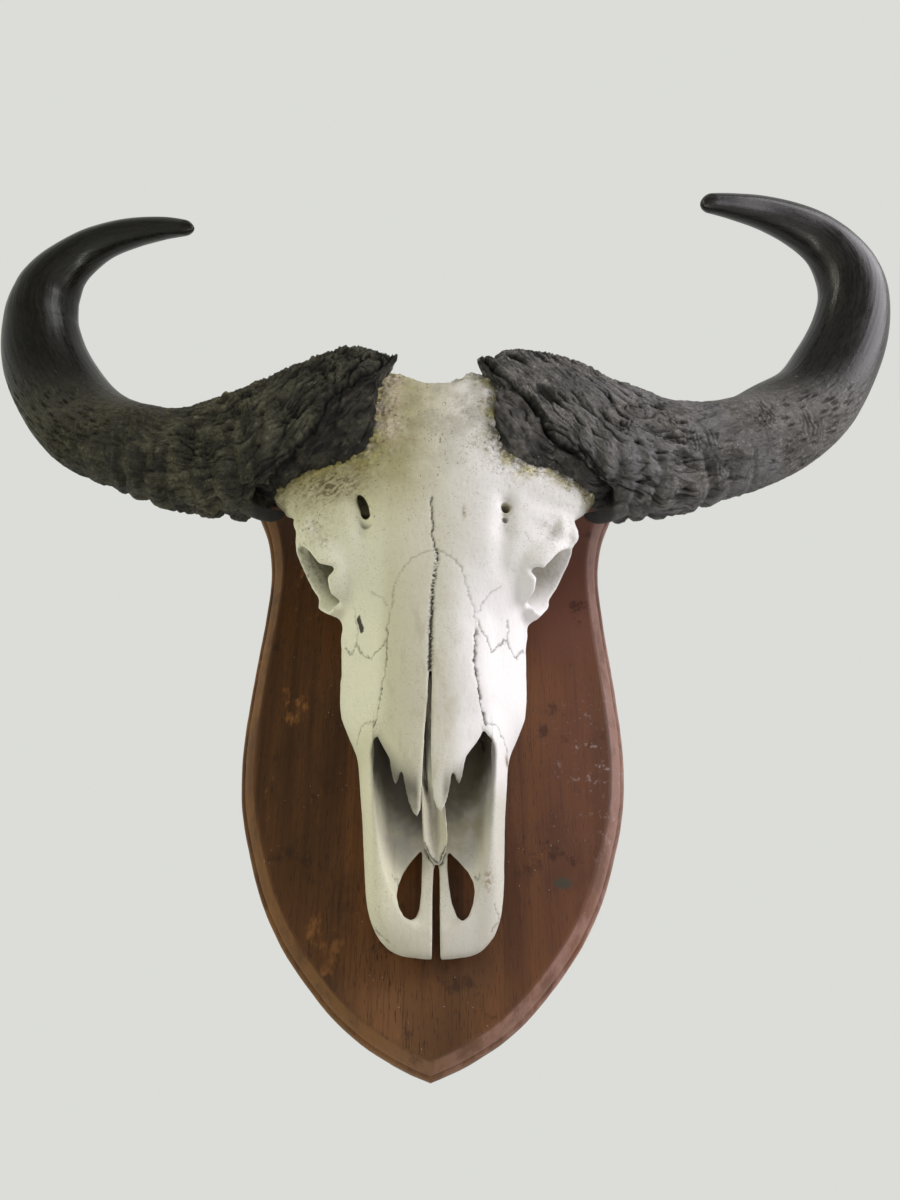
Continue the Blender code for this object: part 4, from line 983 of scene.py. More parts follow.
def make_horn(name, stations, side):
    rows, count = HORN_ROWS, HORN_SIDES
    grid, at, angle = horn_grid(stations, side, rows, count)
    s = np.repeat(at[:, None], count, 1)
    # arc length round each ring, from its front middle, positive towards the upper edge
    nxt = np.roll(grid, -1, 1)
    seg = np.linalg.norm(nxt - grid, axis=2)
    arc = np.concatenate([np.zeros((rows, 1)), np.cumsum(seg, 1)[:, :-1]], 1)
    quarter = count // 4
    arc = arc[:, quarter:quarter + 1] - arc
    total = seg.sum(1)[:, None]
    around = (arc + total / 2) % total - total / 2
    ds = np.gradient(grid, axis=0)
    dt = (np.roll(grid, -1, 1) - np.roll(grid, 1, 1)) / 2
    normal = np.cross(ds, dt)
    normal /= np.maximum(np.linalg.norm(normal, axis=2), 1e-12)[..., None]
    middle = grid.mean(1)[:, None, :]
    if ((grid - middle) * normal).sum() < 0:
        normal = -normal
    p = grid.reshape(-1, 3)
    sf, af = s.ravel(), around.ravel()
    ang = np.repeat(angle[None, :], rows, 0).ravel()
    x, z = p[:, 0], p[:, 2]
    depth = np.zeros(len(p))
    # the rough part reaches further out along the outer side of the bend than along the inner one
    sf = sf.copy()
    bent = sf + 0.045 * np.cos(ang)
    boss = step(0.33, 0.15, sf)
    rough = step(0.42, 0.22, bent)
    tip = step(0.30, 0.42, bent)
    lower = step(*((-0.02, -0.80) if side > 0 else (0.05, -0.72)), np.cos(ang))
    upper = step(0.35, 0.92, np.cos(ang))
    frontal = step(-0.25, 0.3, np.sin(ang))
    seed = 100 if side > 0 else 200
    craggy = 0.62 if side > 0 else 1.15
    # the flow of the fibres: slanting over the boss, then along the horn
    lean = np.radians(50) * step(0.24, 0.04, at)
    slant = np.repeat(lean[:, None], count, 1).ravel()
    shift = np.repeat((np.cumsum(np.sin(lean) * np.gradient(at)))[:, None], count, 1).ravel()
    q = np.stack([sf, af * np.cos(slant) + shift, 0.02 * np.sin(ang)], 1)
    warp = np.stack([noise(p, 30, seed + 1), noise(p, 30, seed + 2), noise(p, 30, seed + 3)], 1)
    qw = q + warp * 0.007 + 0.0015 * np.stack([noise(p, 110, seed + 31), noise(p, 110, seed + 32), 0 * sf], 1)
    # calm and broken areas
    calm = step(-0.30, 0.30, noise(p, 17, seed + 50) + 0.5 * noise(p, 41, seed + 51))
    lively = (0.14 + 0.62 * calm) if side > 0 else (0.30 + 0.70 * calm)
    # broad and middling lumps
    depth += 0.0032 * rough * (0.3 + 0.7 * boss) * fbm(p, 26, 3, seed=seed + 4)
    depth += 0.0022 * craggy * boss * lively * fbm(p, 85, 3, seed=seed + 33)
    depth += 0.0030 * upper * step(0.12, 0.20, sf) * step(0.40, 0.30, bent) * noise(p, 42, seed + 52)
    # ridges along the flow
    crest = fbm(qw, (42, 165, 60), 4, seed=seed + 34, ridged=True)
    depth += (0.0005 if side > 0 else 0.0008) * boss * lively * (0.25 - crest)
    # soft lumps that meet in creases
    pw = p + 0.0045 * warp
    crease = np.abs(noise(pw, 52, seed + 80))
    lump = crease + 0.5 * np.abs(noise(pw, 118, seed + 81)) + 0.24 * np.abs(noise(pw, 255, seed + 82))
    depth += (0.0026 if side > 0 else 0.0066) * boss * (0.35 + 0.65 * lively) * (0.5 - lump)
    crease = step(0.055, 0.0, crease) * boss * lively
    # flakes that lie over one another, each ending in a small cliff
    layer = fbm(qw, (20, 62, 30), 3, seed=seed + 5) * 4.2
    part = layer - np.floor(layer)
    saw = part - step(0.80, 1.0, part)
    depth += (0.0008 if side > 0 else 0.0013) * boss * lively * saw
    # crevices between chunks
    web = noise(qw, (27, 62, 40), seed + 53) + 0.32 * noise(qw, (62, 135, 80), seed + 54)
    crevice = step(0.085, 0.010, np.abs(web)) * step(-0.15, 0.30, noise(p, 24, seed + 55)) * boss
    depth += (0.0022 if side > 0 else 0.0040) * crevice
    web2 = noise(qw, (60, 140, 90), seed + 56)
    crevice2 = step(0.07, 0.01, np.abs(web2)) * step(-0.1, 0.3, noise(p, 50, seed + 57)) * boss
    depth += (0.0010 if side > 0 else 0.0018) * crevice2
    # long slits that run with the fibres
    slit = step(0.24, 0.42, fbm(qw, (30, 125, 40), 2, seed=seed + 6)) * boss
    depth += 0.0040 * slit
    thread = noise(qw, (11, 92, 30), seed + 58)
    slit3 = step(0.055, 0.008, np.abs(thread)) * step(0.05, 0.35, noise(qw, (22, 46, 30), seed + 59)) * boss
    depth += (0.0022 if side > 0 else 0.0018) * slit3
    slit2 = step(0.20, 0.42, fbm(qw, (80, 330, 60), 2, seed=seed + 7)) * step(0.36, 0.25, bent)
    depth += 0.0014 * slit2 * lively
    hollow, own = cells(qw + 0.003 * warp, (38, 80, 40), seed + 35)
    hollow = step(0.50, 0.16, hollow) * (own > (0.86 if side > 0 else 0.68)) * boss
    depth += (0.0036 if side > 0 else 0.0052) * hollow
    crumb = fbm(p, 330, 3, seed=seed + 36)
    depth += 0.00045 * step(0.40, 0.25, bent) * (0.4 + 0.6 * lively) * crumb
    # scabs: flat-topped islands with broken edges, over the whole rough part
    scab = fbm(qw, (70, 120, 60), 4, seed=seed + 70, gain=0.62)
    island = step(0.015, 0.075, scab)
    depth -= (0.0005 if side > 0 else 0.0014) * boss * lively * island
    scab2 = fbm(qw, (150, 260, 120), 3, seed=seed + 71, gain=0.6)
    island2 = step(0.03, 0.10, scab2)
    depth -= (0.0004 if side > 0 else 0.0007) * step(0.38, 0.22, bent) * island2
    # the edge of the boss seen against the wall is broken
    top_edge = upper * step(0.24, 0.12, sf)
    depth += top_edge * (0.0030 * np.abs(fbm(p, 120, 3, seed=seed + 72)) + 0.0016 * step(0.0, 0.25, noise(p, 260, seed + 73)))
    grit, gown = cells(p, 170, seed + 60)
    grit = step(0.30, 0.14, grit) * (gown > 0.90) * step(0.36, 0.20, sf) * step(-0.2, 0.3, noise(p, 33, seed + 61))
    depth -= 0.0008 * grit
    # rounded folds across the lower edge
    phase = sf + 0.14 * (af + 0.05) + 0.010 * noise(p, 22, seed + 8) + 0.004 * noise(p, 70, seed + 9)
    wave = np.sin(2 * np.pi * phase / 0.0225)
    uneven = step(-0.45, 0.35, noise(np.stack([phase, 0 * sf, 0 * sf], 1), 34, seed + 62))
    ridge_zone = lower * step(0.10, 0.14, sf) * step(*((0.33, 0.22) if side > 0 else (0.36, 0.27)), sf) * (0.40 + 0.60 * uneven)
    depth *= 1 - (0.38 if side > 0 else 0.45) * ridge_zone
    depth += ridge_zone * ((0.0058 if side > 0 else 0.0072) * (0.5 - 0.5 * wave) ** 2 - (0.0019 if side > 0 else 0.0024))
    # fine lines across the fibres, in patches
    fine = np.sin(2 * np.pi * (phase * 0.9 - 0.35 * af + 0.003 * noise(p, 120, seed + 11)) / 0.0047)
    cross_zone = frontal * step(0.19, 0.24, sf) * step(0.38, 0.33, bent) * step(0.060, 0.015, np.abs(af + 0.018))
    cross_zone = cross_zone * step(0.02, 0.28, noise(p, 26, seed + 12))
    depth += 0.0018 * cross_zone * (0.5 - 0.5 * fine)
    # fibre lines along the horn, and the dimples of the outer band
    fibre = fbm(np.stack([sf * 0.35, af, af * 0], 1) + 0.002 * warp, (30, 420, 1), 4, seed=seed + 13, gain=0.65)
    fibre_zone = step(0.12, 0.20, sf) * step(0.44, 0.36, bent)
    outer_side = step(0.015, -0.030, af)
    depth += 0.0011 * fibre_zone * fibre * (0.35 + 0.65 * outer_side)
    dimple, _ = cells(np.stack([sf * 0.30, af + 0.10 * sf, af * 0], 1), 230, seed + 14)
    band = step(0.27, 0.31, bent) * step(0.415, 0.375, bent) * step(0.020, -0.010, af)
    depth += 0.0026 * band * step(0.46, 0.20, dimple)
    # the crack, and the thinner layer between it and the bone
    cx = x + 0.0022 * noise(p, 190, seed + 15) + 0.003 * noise(p, 70, seed + 16)
    cz = z + 0.0022 * noise(p, 190, seed + 17) + 0.002 * noise(p, 80, seed + 37)
    d, along, sign = to_line(cx, cz, CRACK[side])
    inner = np.where((sign * side < 0), 1.0, 0.0)
    onfront = frontal
    inner_zone = step(0.0, 0.0030, d * (2 * inner - 1)) * onfront * step(0.20, 0.16, sf)
    depth *= 1 - 0.70 * inner_zone
    terrace = np.sin(2 * np.pi * (d + 0.004 * noise(p, 60, seed + 63)) / (0.0105 if side > 0 else 0.0135))
    depth += inner_zone * (0.0026 * step(0.034, 0.004, d) + 0.0002 + (0.0008 if side > 0 else 0.0012) * fbm(p, 80, 3, seed=seed + 18))
    depth += inner_zone * step(0.002, 0.006, d) * (0.0005 if side > 0 else 0.0009) * np.clip(terrace * 1.4, -1, 1)
    ring_line = inner_zone * step(0.55, 0.98, terrace) * step(-0.2, 0.3, noise(p, 70, seed + 64))
    depth += 0.0012 * ring_line
    open_part = step(-0.3, 0.5, noise(np.stack([along, along * 0, along * 0], 1), 38, seed + 19))
    crack = bump(d, 0.0012 + 0.0022 * open_part) * onfront * step(0.21, 0.17, sf)
    depth += (0.0050 + 0.0045 * open_part) * crack
    depth -= 0.0016 * step(0.012, 0.002, d) * (1 - inner) * onfront * (1 - crack) * step(0.20, 0.15, sf)
    # a second, finer split inside the first
    d2, along2, _ = to_line(cx, cz, SPLIT[side])
    split = bump(d2, 0.0011) * onfront * step(-0.5, 0.1, noise(np.stack([along2, along2 * 0, along2 * 0], 1), 70, seed + 38))
    depth += 0.0028 * split
    # ragged start of the boss
    depth += 0.0030 * step(0.035, 0.0, sf) * np.abs(fbm(p, 85, 3, seed=seed + 20))
    # hollow under the edge of the sheath, beside the foot of the boss
    hx, hz, hh = side * 0.1545, 0.1535, 0.140
    hole = bump(np.sqrt(((x - hx) / 0.0125) ** 2 + ((z - hz) / 0.0065) ** 2 + ((-p[:, 1] - SHIELD_THICK - hh) / 0.016) ** 2), 1.0)
    depth += 0.016 * hole
    high_up = -p[:, 1] - SHIELD_THICK
    opened = bump(np.sqrt(((x - side * .1520) / .0150) ** 2 + ((z - .1570) / .0095) ** 2 + ((high_up - .160) / .024) ** 2), 1.0)
    depth += 0.013 * opened
    depth -= 0.0045 * bump(np.sqrt(((x - side * .1710) / .0130) ** 2 + ((z - .1535) / .0100) ** 2), 1.0)
    # the tips are smooth but never perfectly so
    depth += 0.00022 * tip * fbm(np.stack([sf * 0.3, af, af * 0], 1), (40, 200, 1), 2, seed=seed + 21)
    taper = step(0.0, 0.012, at[-1] - sf)
    depth *= 0.15 + 0.85 * taper
    depth *= 0.25 + 0.75 * step(0.0, 0.014, sf)
    moved = p - normal.reshape(-1, 3) * depth[:, None]
    # the notch in the edge of the boss, between its upper lip and its lobe
    notch = bump((z - 0.2535) / 0.0105, 1.0) * step(0.074, 0.056, np.abs(x)) * (0.0075 if side > 0 else 0.0015)
    moved[:, 0] += side * notch
    low, high = np.array(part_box(name))
    moved = np.clip(moved, low + 0.0001, high - 0.0001)

    first, last = moved[:count].mean(0), moved[-count:].mean(0)
    points = np.concatenate([moved, [first, last]])
    i = np.arange(rows - 1)[:, None] * count
    j = np.arange(count)[None, :]
    k = (j + 1) % count
    quads = np.stack([i + j, i + k, i + count + k, i + count + j], -1).reshape(-1, 4)
    hub0, hub1 = len(moved), len(moved) + 1
    caps = [(hub0, int(b), int(a)) for a, b in zip(range(count), np.roll(range(count), -1))]
    base = (rows - 1) * count
    caps += [(hub1, base + int(a), base + int(b)) for a, b in zip(range(count), np.roll(range(count), -1))]
    mesh = bpy.data.meshes.new(name + "_sheath")
    mesh.from_pydata(points.tolist(), [], quads.tolist() + caps)
    mesh.update()
    obj = new_object(name + "_sheath", mesh)
    bm = bmesh.new()
    bm.from_mesh(mesh)
    bmesh.ops.recalc_face_normals(bm, faces=bm.faces)
    bm.to_mesh(mesh)
    bm.free()
    pad = lambda v: np.concatenate([v, [v[:count].mean(), v[-count:].mean()]])
    mark(mesh, "along", pad(bent))
    mark(mesh, "pale", pad(grit))
    # cracks, slits, crevices, creases and hollows painted near black: painted shade in the recesses
    mark(mesh, "dark", pad(np.clip(slit * 0.8 + slit3 * 0.9 + crevice * 0.75 + crevice2 * 0.5 + crack * 1.1 + slit2 * 0.5 + hole + hollow * 0.8
                                    + split + 0.6 * ring_line + (0.35 if side > 0 else 0.65) * crease, 0, 1)))
    rim_of = step(0.0, 0.045, scab) * step(0.13, 0.075, scab)
    mark(mesh, "high", pad(np.clip((crest - 0.1) * boss + 0.6 * step(0.55, 0.80, part) * step(1.0, 0.9, part) * boss + 0.5 * rim_of * boss, 0, 1)))
    mark(mesh, "under", pad(np.clip(inner_zone, 0, 1)))
    mark(mesh, "rough", pad(rough))
    mark(mesh, "worn", pad(np.clip(ridge_zone * step(-0.1, -0.9, wave) + 0.5 * cross_zone * step(.2, -.6, fine), 0, 1)))
    mark(mesh, "lively", pad(lively))
    mark3(mesh, "flow", np.concatenate([q, [q[:count].mean(0), q[-count:].mean(0)]]))
    # the hollow lip of the sheath behind the spur of bone
    lip = sweep("lip", ((side * .174, .1570, .148), (side * .161, .1500, .146), (side * .149, .1490, .142), (side * .139, .1530, .138)),
                ((.0070, .012), (.0042, .011), (.0030, .009), (.0014, .004)))
    bm = bmesh.new()
    bm.from_mesh(lip.data)
    bmesh.ops.recalc_face_normals(bm, faces=bm.faces)
    bm.to_mesh(lip.data)
    bm.free()
    spots = points_of(lip.data)
    for kind in ("along", "pale", "high", "under", "rough", "worn", "lively"):
        mark(lip.data, kind, np.full(len(spots), 0.5 if kind == "rough" else 0.0))
    # painted shadow on the part of the lip that lies behind the spur of bone
    mark(lip.data, "dark", 0.92 * step(.168, .160, np.abs(spots[:, 0])))
    mark3(lip.data, "flow", spots)
    obj = joined(name + "_sheath", [obj, lip])
    obj.name = obj.data.name = name + "_sheath"
    obj.data.shade_smooth()
    return obj


# -------------------------------------------------------------------- shield
SHIELD_SIDE = (
    (0.000, 0.0000), (0.006, 0.0158), (0.014, 0.0328), (0.030, 0.0600),
    (0.050, 0.0845), (0.080, 0.1116), (0.110, 0.1337), (0.145, 0.1524),
    (0.185, 0.1668), (0.230, 0.1785), (0.280, 0.1832), (0.330, 0.1821),
    (0.385, 0.1784), (0.430, 0.1750), (0.475, 0.1733), (0.505, 0.1758),
    (0.535, 0.1826), (0.565, 0.1945), (0.588, 0.2045),
)
SHIELD_TOP_DIP = 0.016


def shield_outline(inset, side_points=110, top_points=44):
    base = -SHIELD_HEIGHT / 2
    up, wide = zip(*SHIELD_SIDE)
    heights = np.linspace(0, 1, side_points) ** 1.15 * up[-1]
    right = [(float(hermite(up, wide, v)[0, 0]), base + float(v)) for v in heights]
    corner_x, corner_z = right[-1]
    for k in range(1, top_points + 1):
        t = k / (top_points + 1)
        rise = (SHIELD_HEIGHT - up[-1]) * t**1.5 - SHIELD_TOP_DIP * math.sin(math.pi * min(1.0, t * 1.25)) * 0.6
        right.append((corner_x * (1 - t), corner_z + rise))
    outline = right + [(0.0, base + SHIELD_HEIGHT)] + [(-x, z) for x, z in reversed(right[1:])]
    points = np.array(outline)
    before, after = np.roll(points, 1, 0), np.roll(points, -1, 0)
    e1, e2 = points - before, after - points
    e1 /= np.linalg.norm(e1, axis=1)[:, None]
    e2 /= np.linalg.norm(e2, axis=1)[:, None]
    n1 = np.stack([-e1[:, 1], e1[:, 0]], 1)
    n2 = np.stack([-e2[:, 1], e2[:, 0]], 1)
    mitre = n1 + n2
    mitre /= np.linalg.norm(mitre, axis=1)[:, None]
    stretch = 1 / np.maximum((mitre * n1).sum(1), 0.6)
    return points + mitre * stretch[:, None] * inset


def make_shield():
    lip, thick = SHIELD_LIP, SHIELD_THICK
    shoulder = thick - SHIELD_BEVEL_DROP - SHIELD_QUIRK
    steps = [(0.0012, 0.0), (0.0003, 0.0004), (0.0, 0.0012), (0.0, shoulder - lip)]
    steps += [(lip * (1 - math.cos(a)), shoulder - lip + lip * math.sin(a)) for a in np.radians((15, 30, 45, 60, 75, 88))]
    steps += [
        (lip, shoulder), (lip + .0002, shoulder + .0003), (lip + .0002, shoulder + SHIELD_QUIRK - .0003),
        (lip + .0006, shoulder + SHIELD_QUIRK + .0003),
    ]
    for t in (0.15, 0.3, 0.45, 0.6, 0.75, 0.9):
        steps.append((lip + SHIELD_BEVEL * t, thick - SHIELD_BEVEL_DROP * (1 - t) + 0.0004 * math.sin(math.pi * t)))
    steps += [(lip + SHIELD_BEVEL - .0002, thick - .0006), (lip + SHIELD_BEVEL + .0006, thick - .0001), (lip + SHIELD_BEVEL + .002, thick)]
    verts, faces = [], []
    for inset, up in steps:
        for x, z in shield_outline(inset):
            verts.append((x, -up, z))
    n = len(verts) // len(steps)
    for r in range(len(steps) - 1):
        for k in range(n):
            j = (k + 1) % n
            faces.append((r * n + k, r * n + j, (r + 1) * n + j, (r + 1) * n + k))
    faces.append(tuple(range(n)))
    faces.append(tuple(reversed(range((len(steps) - 1) * n, len(steps) * n))))
    mesh = bpy.data.meshes.new("shield_board")
    mesh.from_pydata(verts, [], faces)
    mesh.update()
    bm = bmesh.new()
    bm.from_mesh(mesh)
    bmesh.ops.recalc_face_normals(bm, faces=bm.faces)
    bmesh.ops.triangulate(bm, faces=[f for f in bm.faces if len(f.verts) > 4])
    bm.to_mesh(mesh)
    bm.free()
    p = points_of(mesh)
    # dents and wear of the moulded edge
    outer = p[:, 1] > -(thick - 0.0002)
    dent = 0.0005 * fbm(p, 40, 3, seed=301) * outer * (p[:, 1] < -0.001)
    centre = np.array((0.0, 0.0, -0.05))
    away = p - centre
    away[:, 1] = 0
    away /= np.maximum(np.linalg.norm(away, axis=1), 1e-9)[:, None]
    p = p - away * np.clip(dent + 0.0003, 0, 0.002)[:, None]
    move_points(mesh, p)
    mesh.shade_smooth()
    mesh.set_sharp_from_angle(angle=math.radians(28))
    return new_object("shield_board", mesh)


# ----------------------------------------------------------------- materials
class Nodes:
    """Short names for building a node tree."""

    def __init__(self, name):
        self.material = bpy.data.materials.new(name)
        self.material.use_nodes = True
        self.tree = self.material.node_tree
        self.shader = self.tree.nodes["Principled BSDF"]
        self.coords = self.tree.nodes.new("ShaderNodeTexCoord").outputs["Object"]

    def add(self, kind, **settings):
        node = self.tree.nodes.new(kind)
        for key, value in settings.items():
            setattr(node, key, value)
        return node

    def link(self, a, b):
        self.tree.links.new(a, b)

    def put(self, socket, value):
        if hasattr(value, "is_linked") or hasattr(value, "links"):
            self.link(value, socket)
        else:
            socket.default_value = value

    def attribute(self, name, output="Fac"):
        return self.add("ShaderNodeAttribute", attribute_name=name).outputs[output]

    def mapped(self, vector, scale):
        node = self.add("ShaderNodeMapping")
        self.link(vector, node.inputs["Vector"])
        node.inputs["Scale"].default_value = scale
        return node.outputs["Vector"]

    def noise(self, vector, scale, detail=4.0, rough=0.55, distortion=0.0, lac=2.0):
        node = self.add("ShaderNodeTexNoise")
        self.link(vector, node.inputs["Vector"])
        node.inputs["Scale"].default_value = scale
        node.inputs["Detail"].default_value = detail
        node.inputs["Roughness"].default_value = rough
        node.inputs["Lacunarity"].default_value = lac
        node.inputs["Distortion"].default_value = distortion
        return node.outputs["Fac"]

    def voronoi(self, vector, scale, feature="F1", output="Distance", randomness=1.0):
        node = self.add("ShaderNodeTexVoronoi", feature=feature)
        self.link(vector, node.inputs["Vector"])
        node.inputs["Scale"].default_value = scale
        node.inputs["Randomness"].default_value = randomness
        return node.outputs[output]

    def wave(self, vector, scale, distortion, detail=2.0, direction="X", detail_scale=1.0):
        node = self.add("ShaderNodeTexWave", bands_direction=direction)
        self.link(vector, node.inputs["Vector"])
        node.inputs["Scale"].default_value = scale
        node.inputs["Distortion"].default_value = distortion
        node.inputs["Detail"].default_value = detail
        node.inputs["Detail Scale"].default_value = detail_scale
        return node.outputs["Fac"]

    def ramp(self, value, low, high, out_low=0.0, out_high=1.0):
        node = self.add("ShaderNodeMapRange", interpolation_type="SMOOTHSTEP")
        self.put(node.inputs["Value"], value)
        node.inputs["From Min"].default_value = low
        node.inputs["From Max"].default_value = high
        node.inputs["To Min"].default_value = out_low
        node.inputs["To Max"].default_value = out_high
        return node.outputs["Result"]

    def math(self, operation, a, b=0.0, c=0.0, clamp=False):
        node = self.add("ShaderNodeMath", operation=operation, use_clamp=clamp)
        self.put(node.inputs[0], a)
        self.put(node.inputs[1], b)
        self.put(node.inputs[2], c)
        return node.outputs[0]

    def mix(self, factor, a, b, blend="MIX"):
        node = self.add("ShaderNodeMix", data_type="RGBA", blend_type=blend)
        self.put(node.inputs["Factor"], factor)
        for socket, value in ((node.inputs[6], a), (node.inputs[7], b)):
            if isinstance(value, tuple):
                socket.default_value = (*value, 1.0) if len(value) == 3 else value
            else:
                self.link(value, socket)
        return node.outputs[2]

    def bump(self, height, strength, distance, normal=None):
        node = self.add("ShaderNodeBump")
        node.inputs["Strength"].default_value = strength
        node.inputs["Distance"].default_value = distance
        self.link(height, node.inputs["Height"])
        if normal is not None:
            self.link(normal, node.inputs["Normal"])
        return node.outputs["Normal"]

    def separate(self, vector):
        node = self.add("ShaderNodeSeparateXYZ")
        self.link(vector, node.inputs[0])
        return node.outputs

    def finish(self, colour, roughness, normal=None, **constants):
        self.put(self.shader.inputs["Base Color"], colour)
        self.put(self.shader.inputs["Roughness"], roughness)
        if normal is not None:
            self.link(normal, self.shader.inputs["Normal"])
        for key, value in constants.items():
            self.shader.inputs[key.replace("_", " ")].default_value = value
        return self.material


def bone_material():
    m = Nodes("bone_dry")
    c = m.coords
    broad = m.noise(c, 9.0, 3.0, 0.5)
    patch = m.noise(c, 28.0, 4.0, 0.6)
    grain = m.noise(m.mapped(c, (1, 1, 0.3)), 420.0, 3.0, 0.6)
    speck = m.noise(c, 900.0, 2.0, 0.5)
    sides = m.separate(c)
    colour = m.mix(m.ramp(broad, 0.35, 0.65), (0.635, 0.600, 0.515), (0.690, 0.665, 0.600))
    colour = m.mix(m.ramp(patch, 0.45, 0.72, 0.0, 0.30), colour, (0.60, 0.555, 0.45))
    # yellower towards the animal's right and whiter, lilac, towards its left: partly the bone's own tone, partly
    # painted light and shade, lit from the animal's left
    left = m.ramp(sides["X"], 0.012, -0.060, 0.0, 0.80)
    colour = m.mix(left, colour, (0.640, 0.618, 0.425))
    right = m.ramp(sides["X"], -0.004, 0.050, 0.0, 0.88)
    colour = m.mix(right, colour, (0.775, 0.748, 0.765))
    cheek = m.math("MULTIPLY", m.ramp(sides["X"], -0.036, -0.050), m.ramp(sides["Z"], -0.06, -0.02))
    colour = m.mix(m.math("MULTIPLY", cheek, 0.75), colour, (0.780, 0.765, 0.630))
    bars = m.math("MULTIPLY", m.ramp(sides["Z"], -0.045, -0.085), m.ramp(sides["X"], -0.030, -0.042))
    colour = m.mix(m.math("MULTIPLY", bars, 0.65), colour, (0.735, 0.700, 0.560))
    bars = m.math("MULTIPLY", m.ramp(sides["Z"], -0.045, -0.085), m.ramp(sides["X"], 0.030, 0.045))
    colour = m.mix(m.math("MULTIPLY", bars, 0.75), colour, (0.560, 0.530, 0.465))
    colour = m.mix(m.ramp(grain, 0.52, 0.75, 0.0, 0.22), colour, (0.45, 0.42, 0.34))
    colour = m.mix(m.math("MULTIPLY", m.ramp(speck, 0.60, 0.68), m.ramp(patch, 0.40, 0.60, 0.10, 0.55)), colour, (0.30, 0.27, 0.20))
    # greyer and dustier on the upper forehead, olive towards the animal's right horn
    upper = m.math("MULTIPLY", m.ramp(sides["Z"], 0.12, 0.25), m.ramp(m.noise(c, 40.0, 5.0, 0.65), 0.38, 0.62))
    colour = m.mix(m.math("MULTIPLY", upper, 0.72), colour, (0.36, 0.335, 0.28))
    olive = m.math("MULTIPLY", m.ramp(sides["Z"], 0.125, 0.185), m.ramp(sides["X"], 0.015, -0.055))
    colour = m.mix(m.math("MULTIPLY", olive, m.ramp(m.noise(c, 55.0, 5.0, 0.6), 0.36, 0.64, 0.50, 0.95)), colour, (0.330, 0.290, 0.135))
    shade = m.math("MULTIPLY", m.ramp(sides["Z"], 0.10, 0.16), m.ramp(sides["X"], 0.030, -0.035))
    colour = m.mix(shade, colour, m.mix(1.0, colour, (0.80, 0.775, 0.66), "MULTIPLY"))
    # painted light: the face near white on the animal's left
    rightmost = m.math("MULTIPLY", m.ramp(sides["X"], 0.010, 0.030), m.ramp(sides["Z"], 0.10, 0.06))
    rightmost = m.math("MULTIPLY", rightmost, m.ramp(sides["Z"], -0.10, -0.07))
    colour = m.mix(m.math("MULTIPLY", rightmost, 0.55), colour, (0.90, 0.865, 0.905))
    streaks = m.math("MULTIPLY", m.ramp(m.noise(m.mapped(c, (1, 1, 0.14)), 85.0, 4.0, 0.6), 0.50, 0.68, 0.0, 0.42), m.ramp(sides["Z"], 0.08, 0.03))
    colour = m.mix(m.math("MULTIPLY", streaks, m.math("MULTIPLY", m.ramp(m.math("ABSOLUTE", sides["X"]), 0.046, 0.036), m.ramp(sides["X"], 0.030, 0.000, 0.45, 1.0))), colour, (0.46, 0.415, 0.30))
    dusk = m.ramp(sides["Z"], -0.165, -0.205, 0.0, 0.45)
    colour = m.mix(dusk, colour, (0.44, 0.40, 0.35))
    colour = m.mix(m.math("MULTIPLY", m.attribute("sponge"), m.ramp(m.noise(c, 300.0, 4.0, 0.7), 0.36, 0.60, 0.25, 0.85)), colour, (0.62, 0.52, 0.46))
    tiny = m.noise(c, 470.0, 3.0, 0.62)
    holes = m.math("MULTIPLY", m.ramp(tiny, 0.622, 0.655), m.ramp(m.noise(c, 130.0, 3.0, 0.6), 0.43, 0.58))
    holes = m.math("MULTIPLY", holes, m.ramp(sides["Z"], 0.06, 0.20, 0.12, 1.0))
    holes = m.math("MULTIPLY", holes, m.ramp(sides["X"], 0.060, -0.010, 0.55, 1.0))
    colour = m.mix(holes, colour, (0.095, 0.066, 0.036))
    crumbs = m.ramp(m.noise(c, 340.0, 5.0, 0.75), 0.45, 0.56)
    colour = m.mix(m.math("MULTIPLY", m.attribute("yellow"), m.ramp(crumbs, 0.0, 1.0, 0.30, 1.0)), colour, (0.40, 0.355, 0.095))
    colour = m.mix(m.math("MULTIPLY", m.attribute("dirt"), 0.14), colour, (0.31, 0.27, 0.185))
    dirt = m.math("MULTIPLY", m.attribute("dirt"), m.ramp(m.noise(c, 260.0, 7.0, 0.80), 0.505, 0.550))
    colour = m.mix(m.math("MULTIPLY", dirt, 0.92), colour, (0.125, 0.085, 0.038))
    colour = m.mix(m.math("MULTIPLY", m.attribute("grime"), m.ramp(m.noise(c, 240.0, 5.0, 0.7), 0.40, 0.56, 0.30, 0.88)), colour, (0.105, 0.090, 0.045))
    colour = m.mix(m.math("MULTIPLY", m.attribute("roots"), 0.85), colour, (0.105, 0.066, 0.026))
    colour = m.mix(m.math("MULTIPLY", m.attribute("pores"), 0.42), colour, (0.120, 0.088, 0.050))
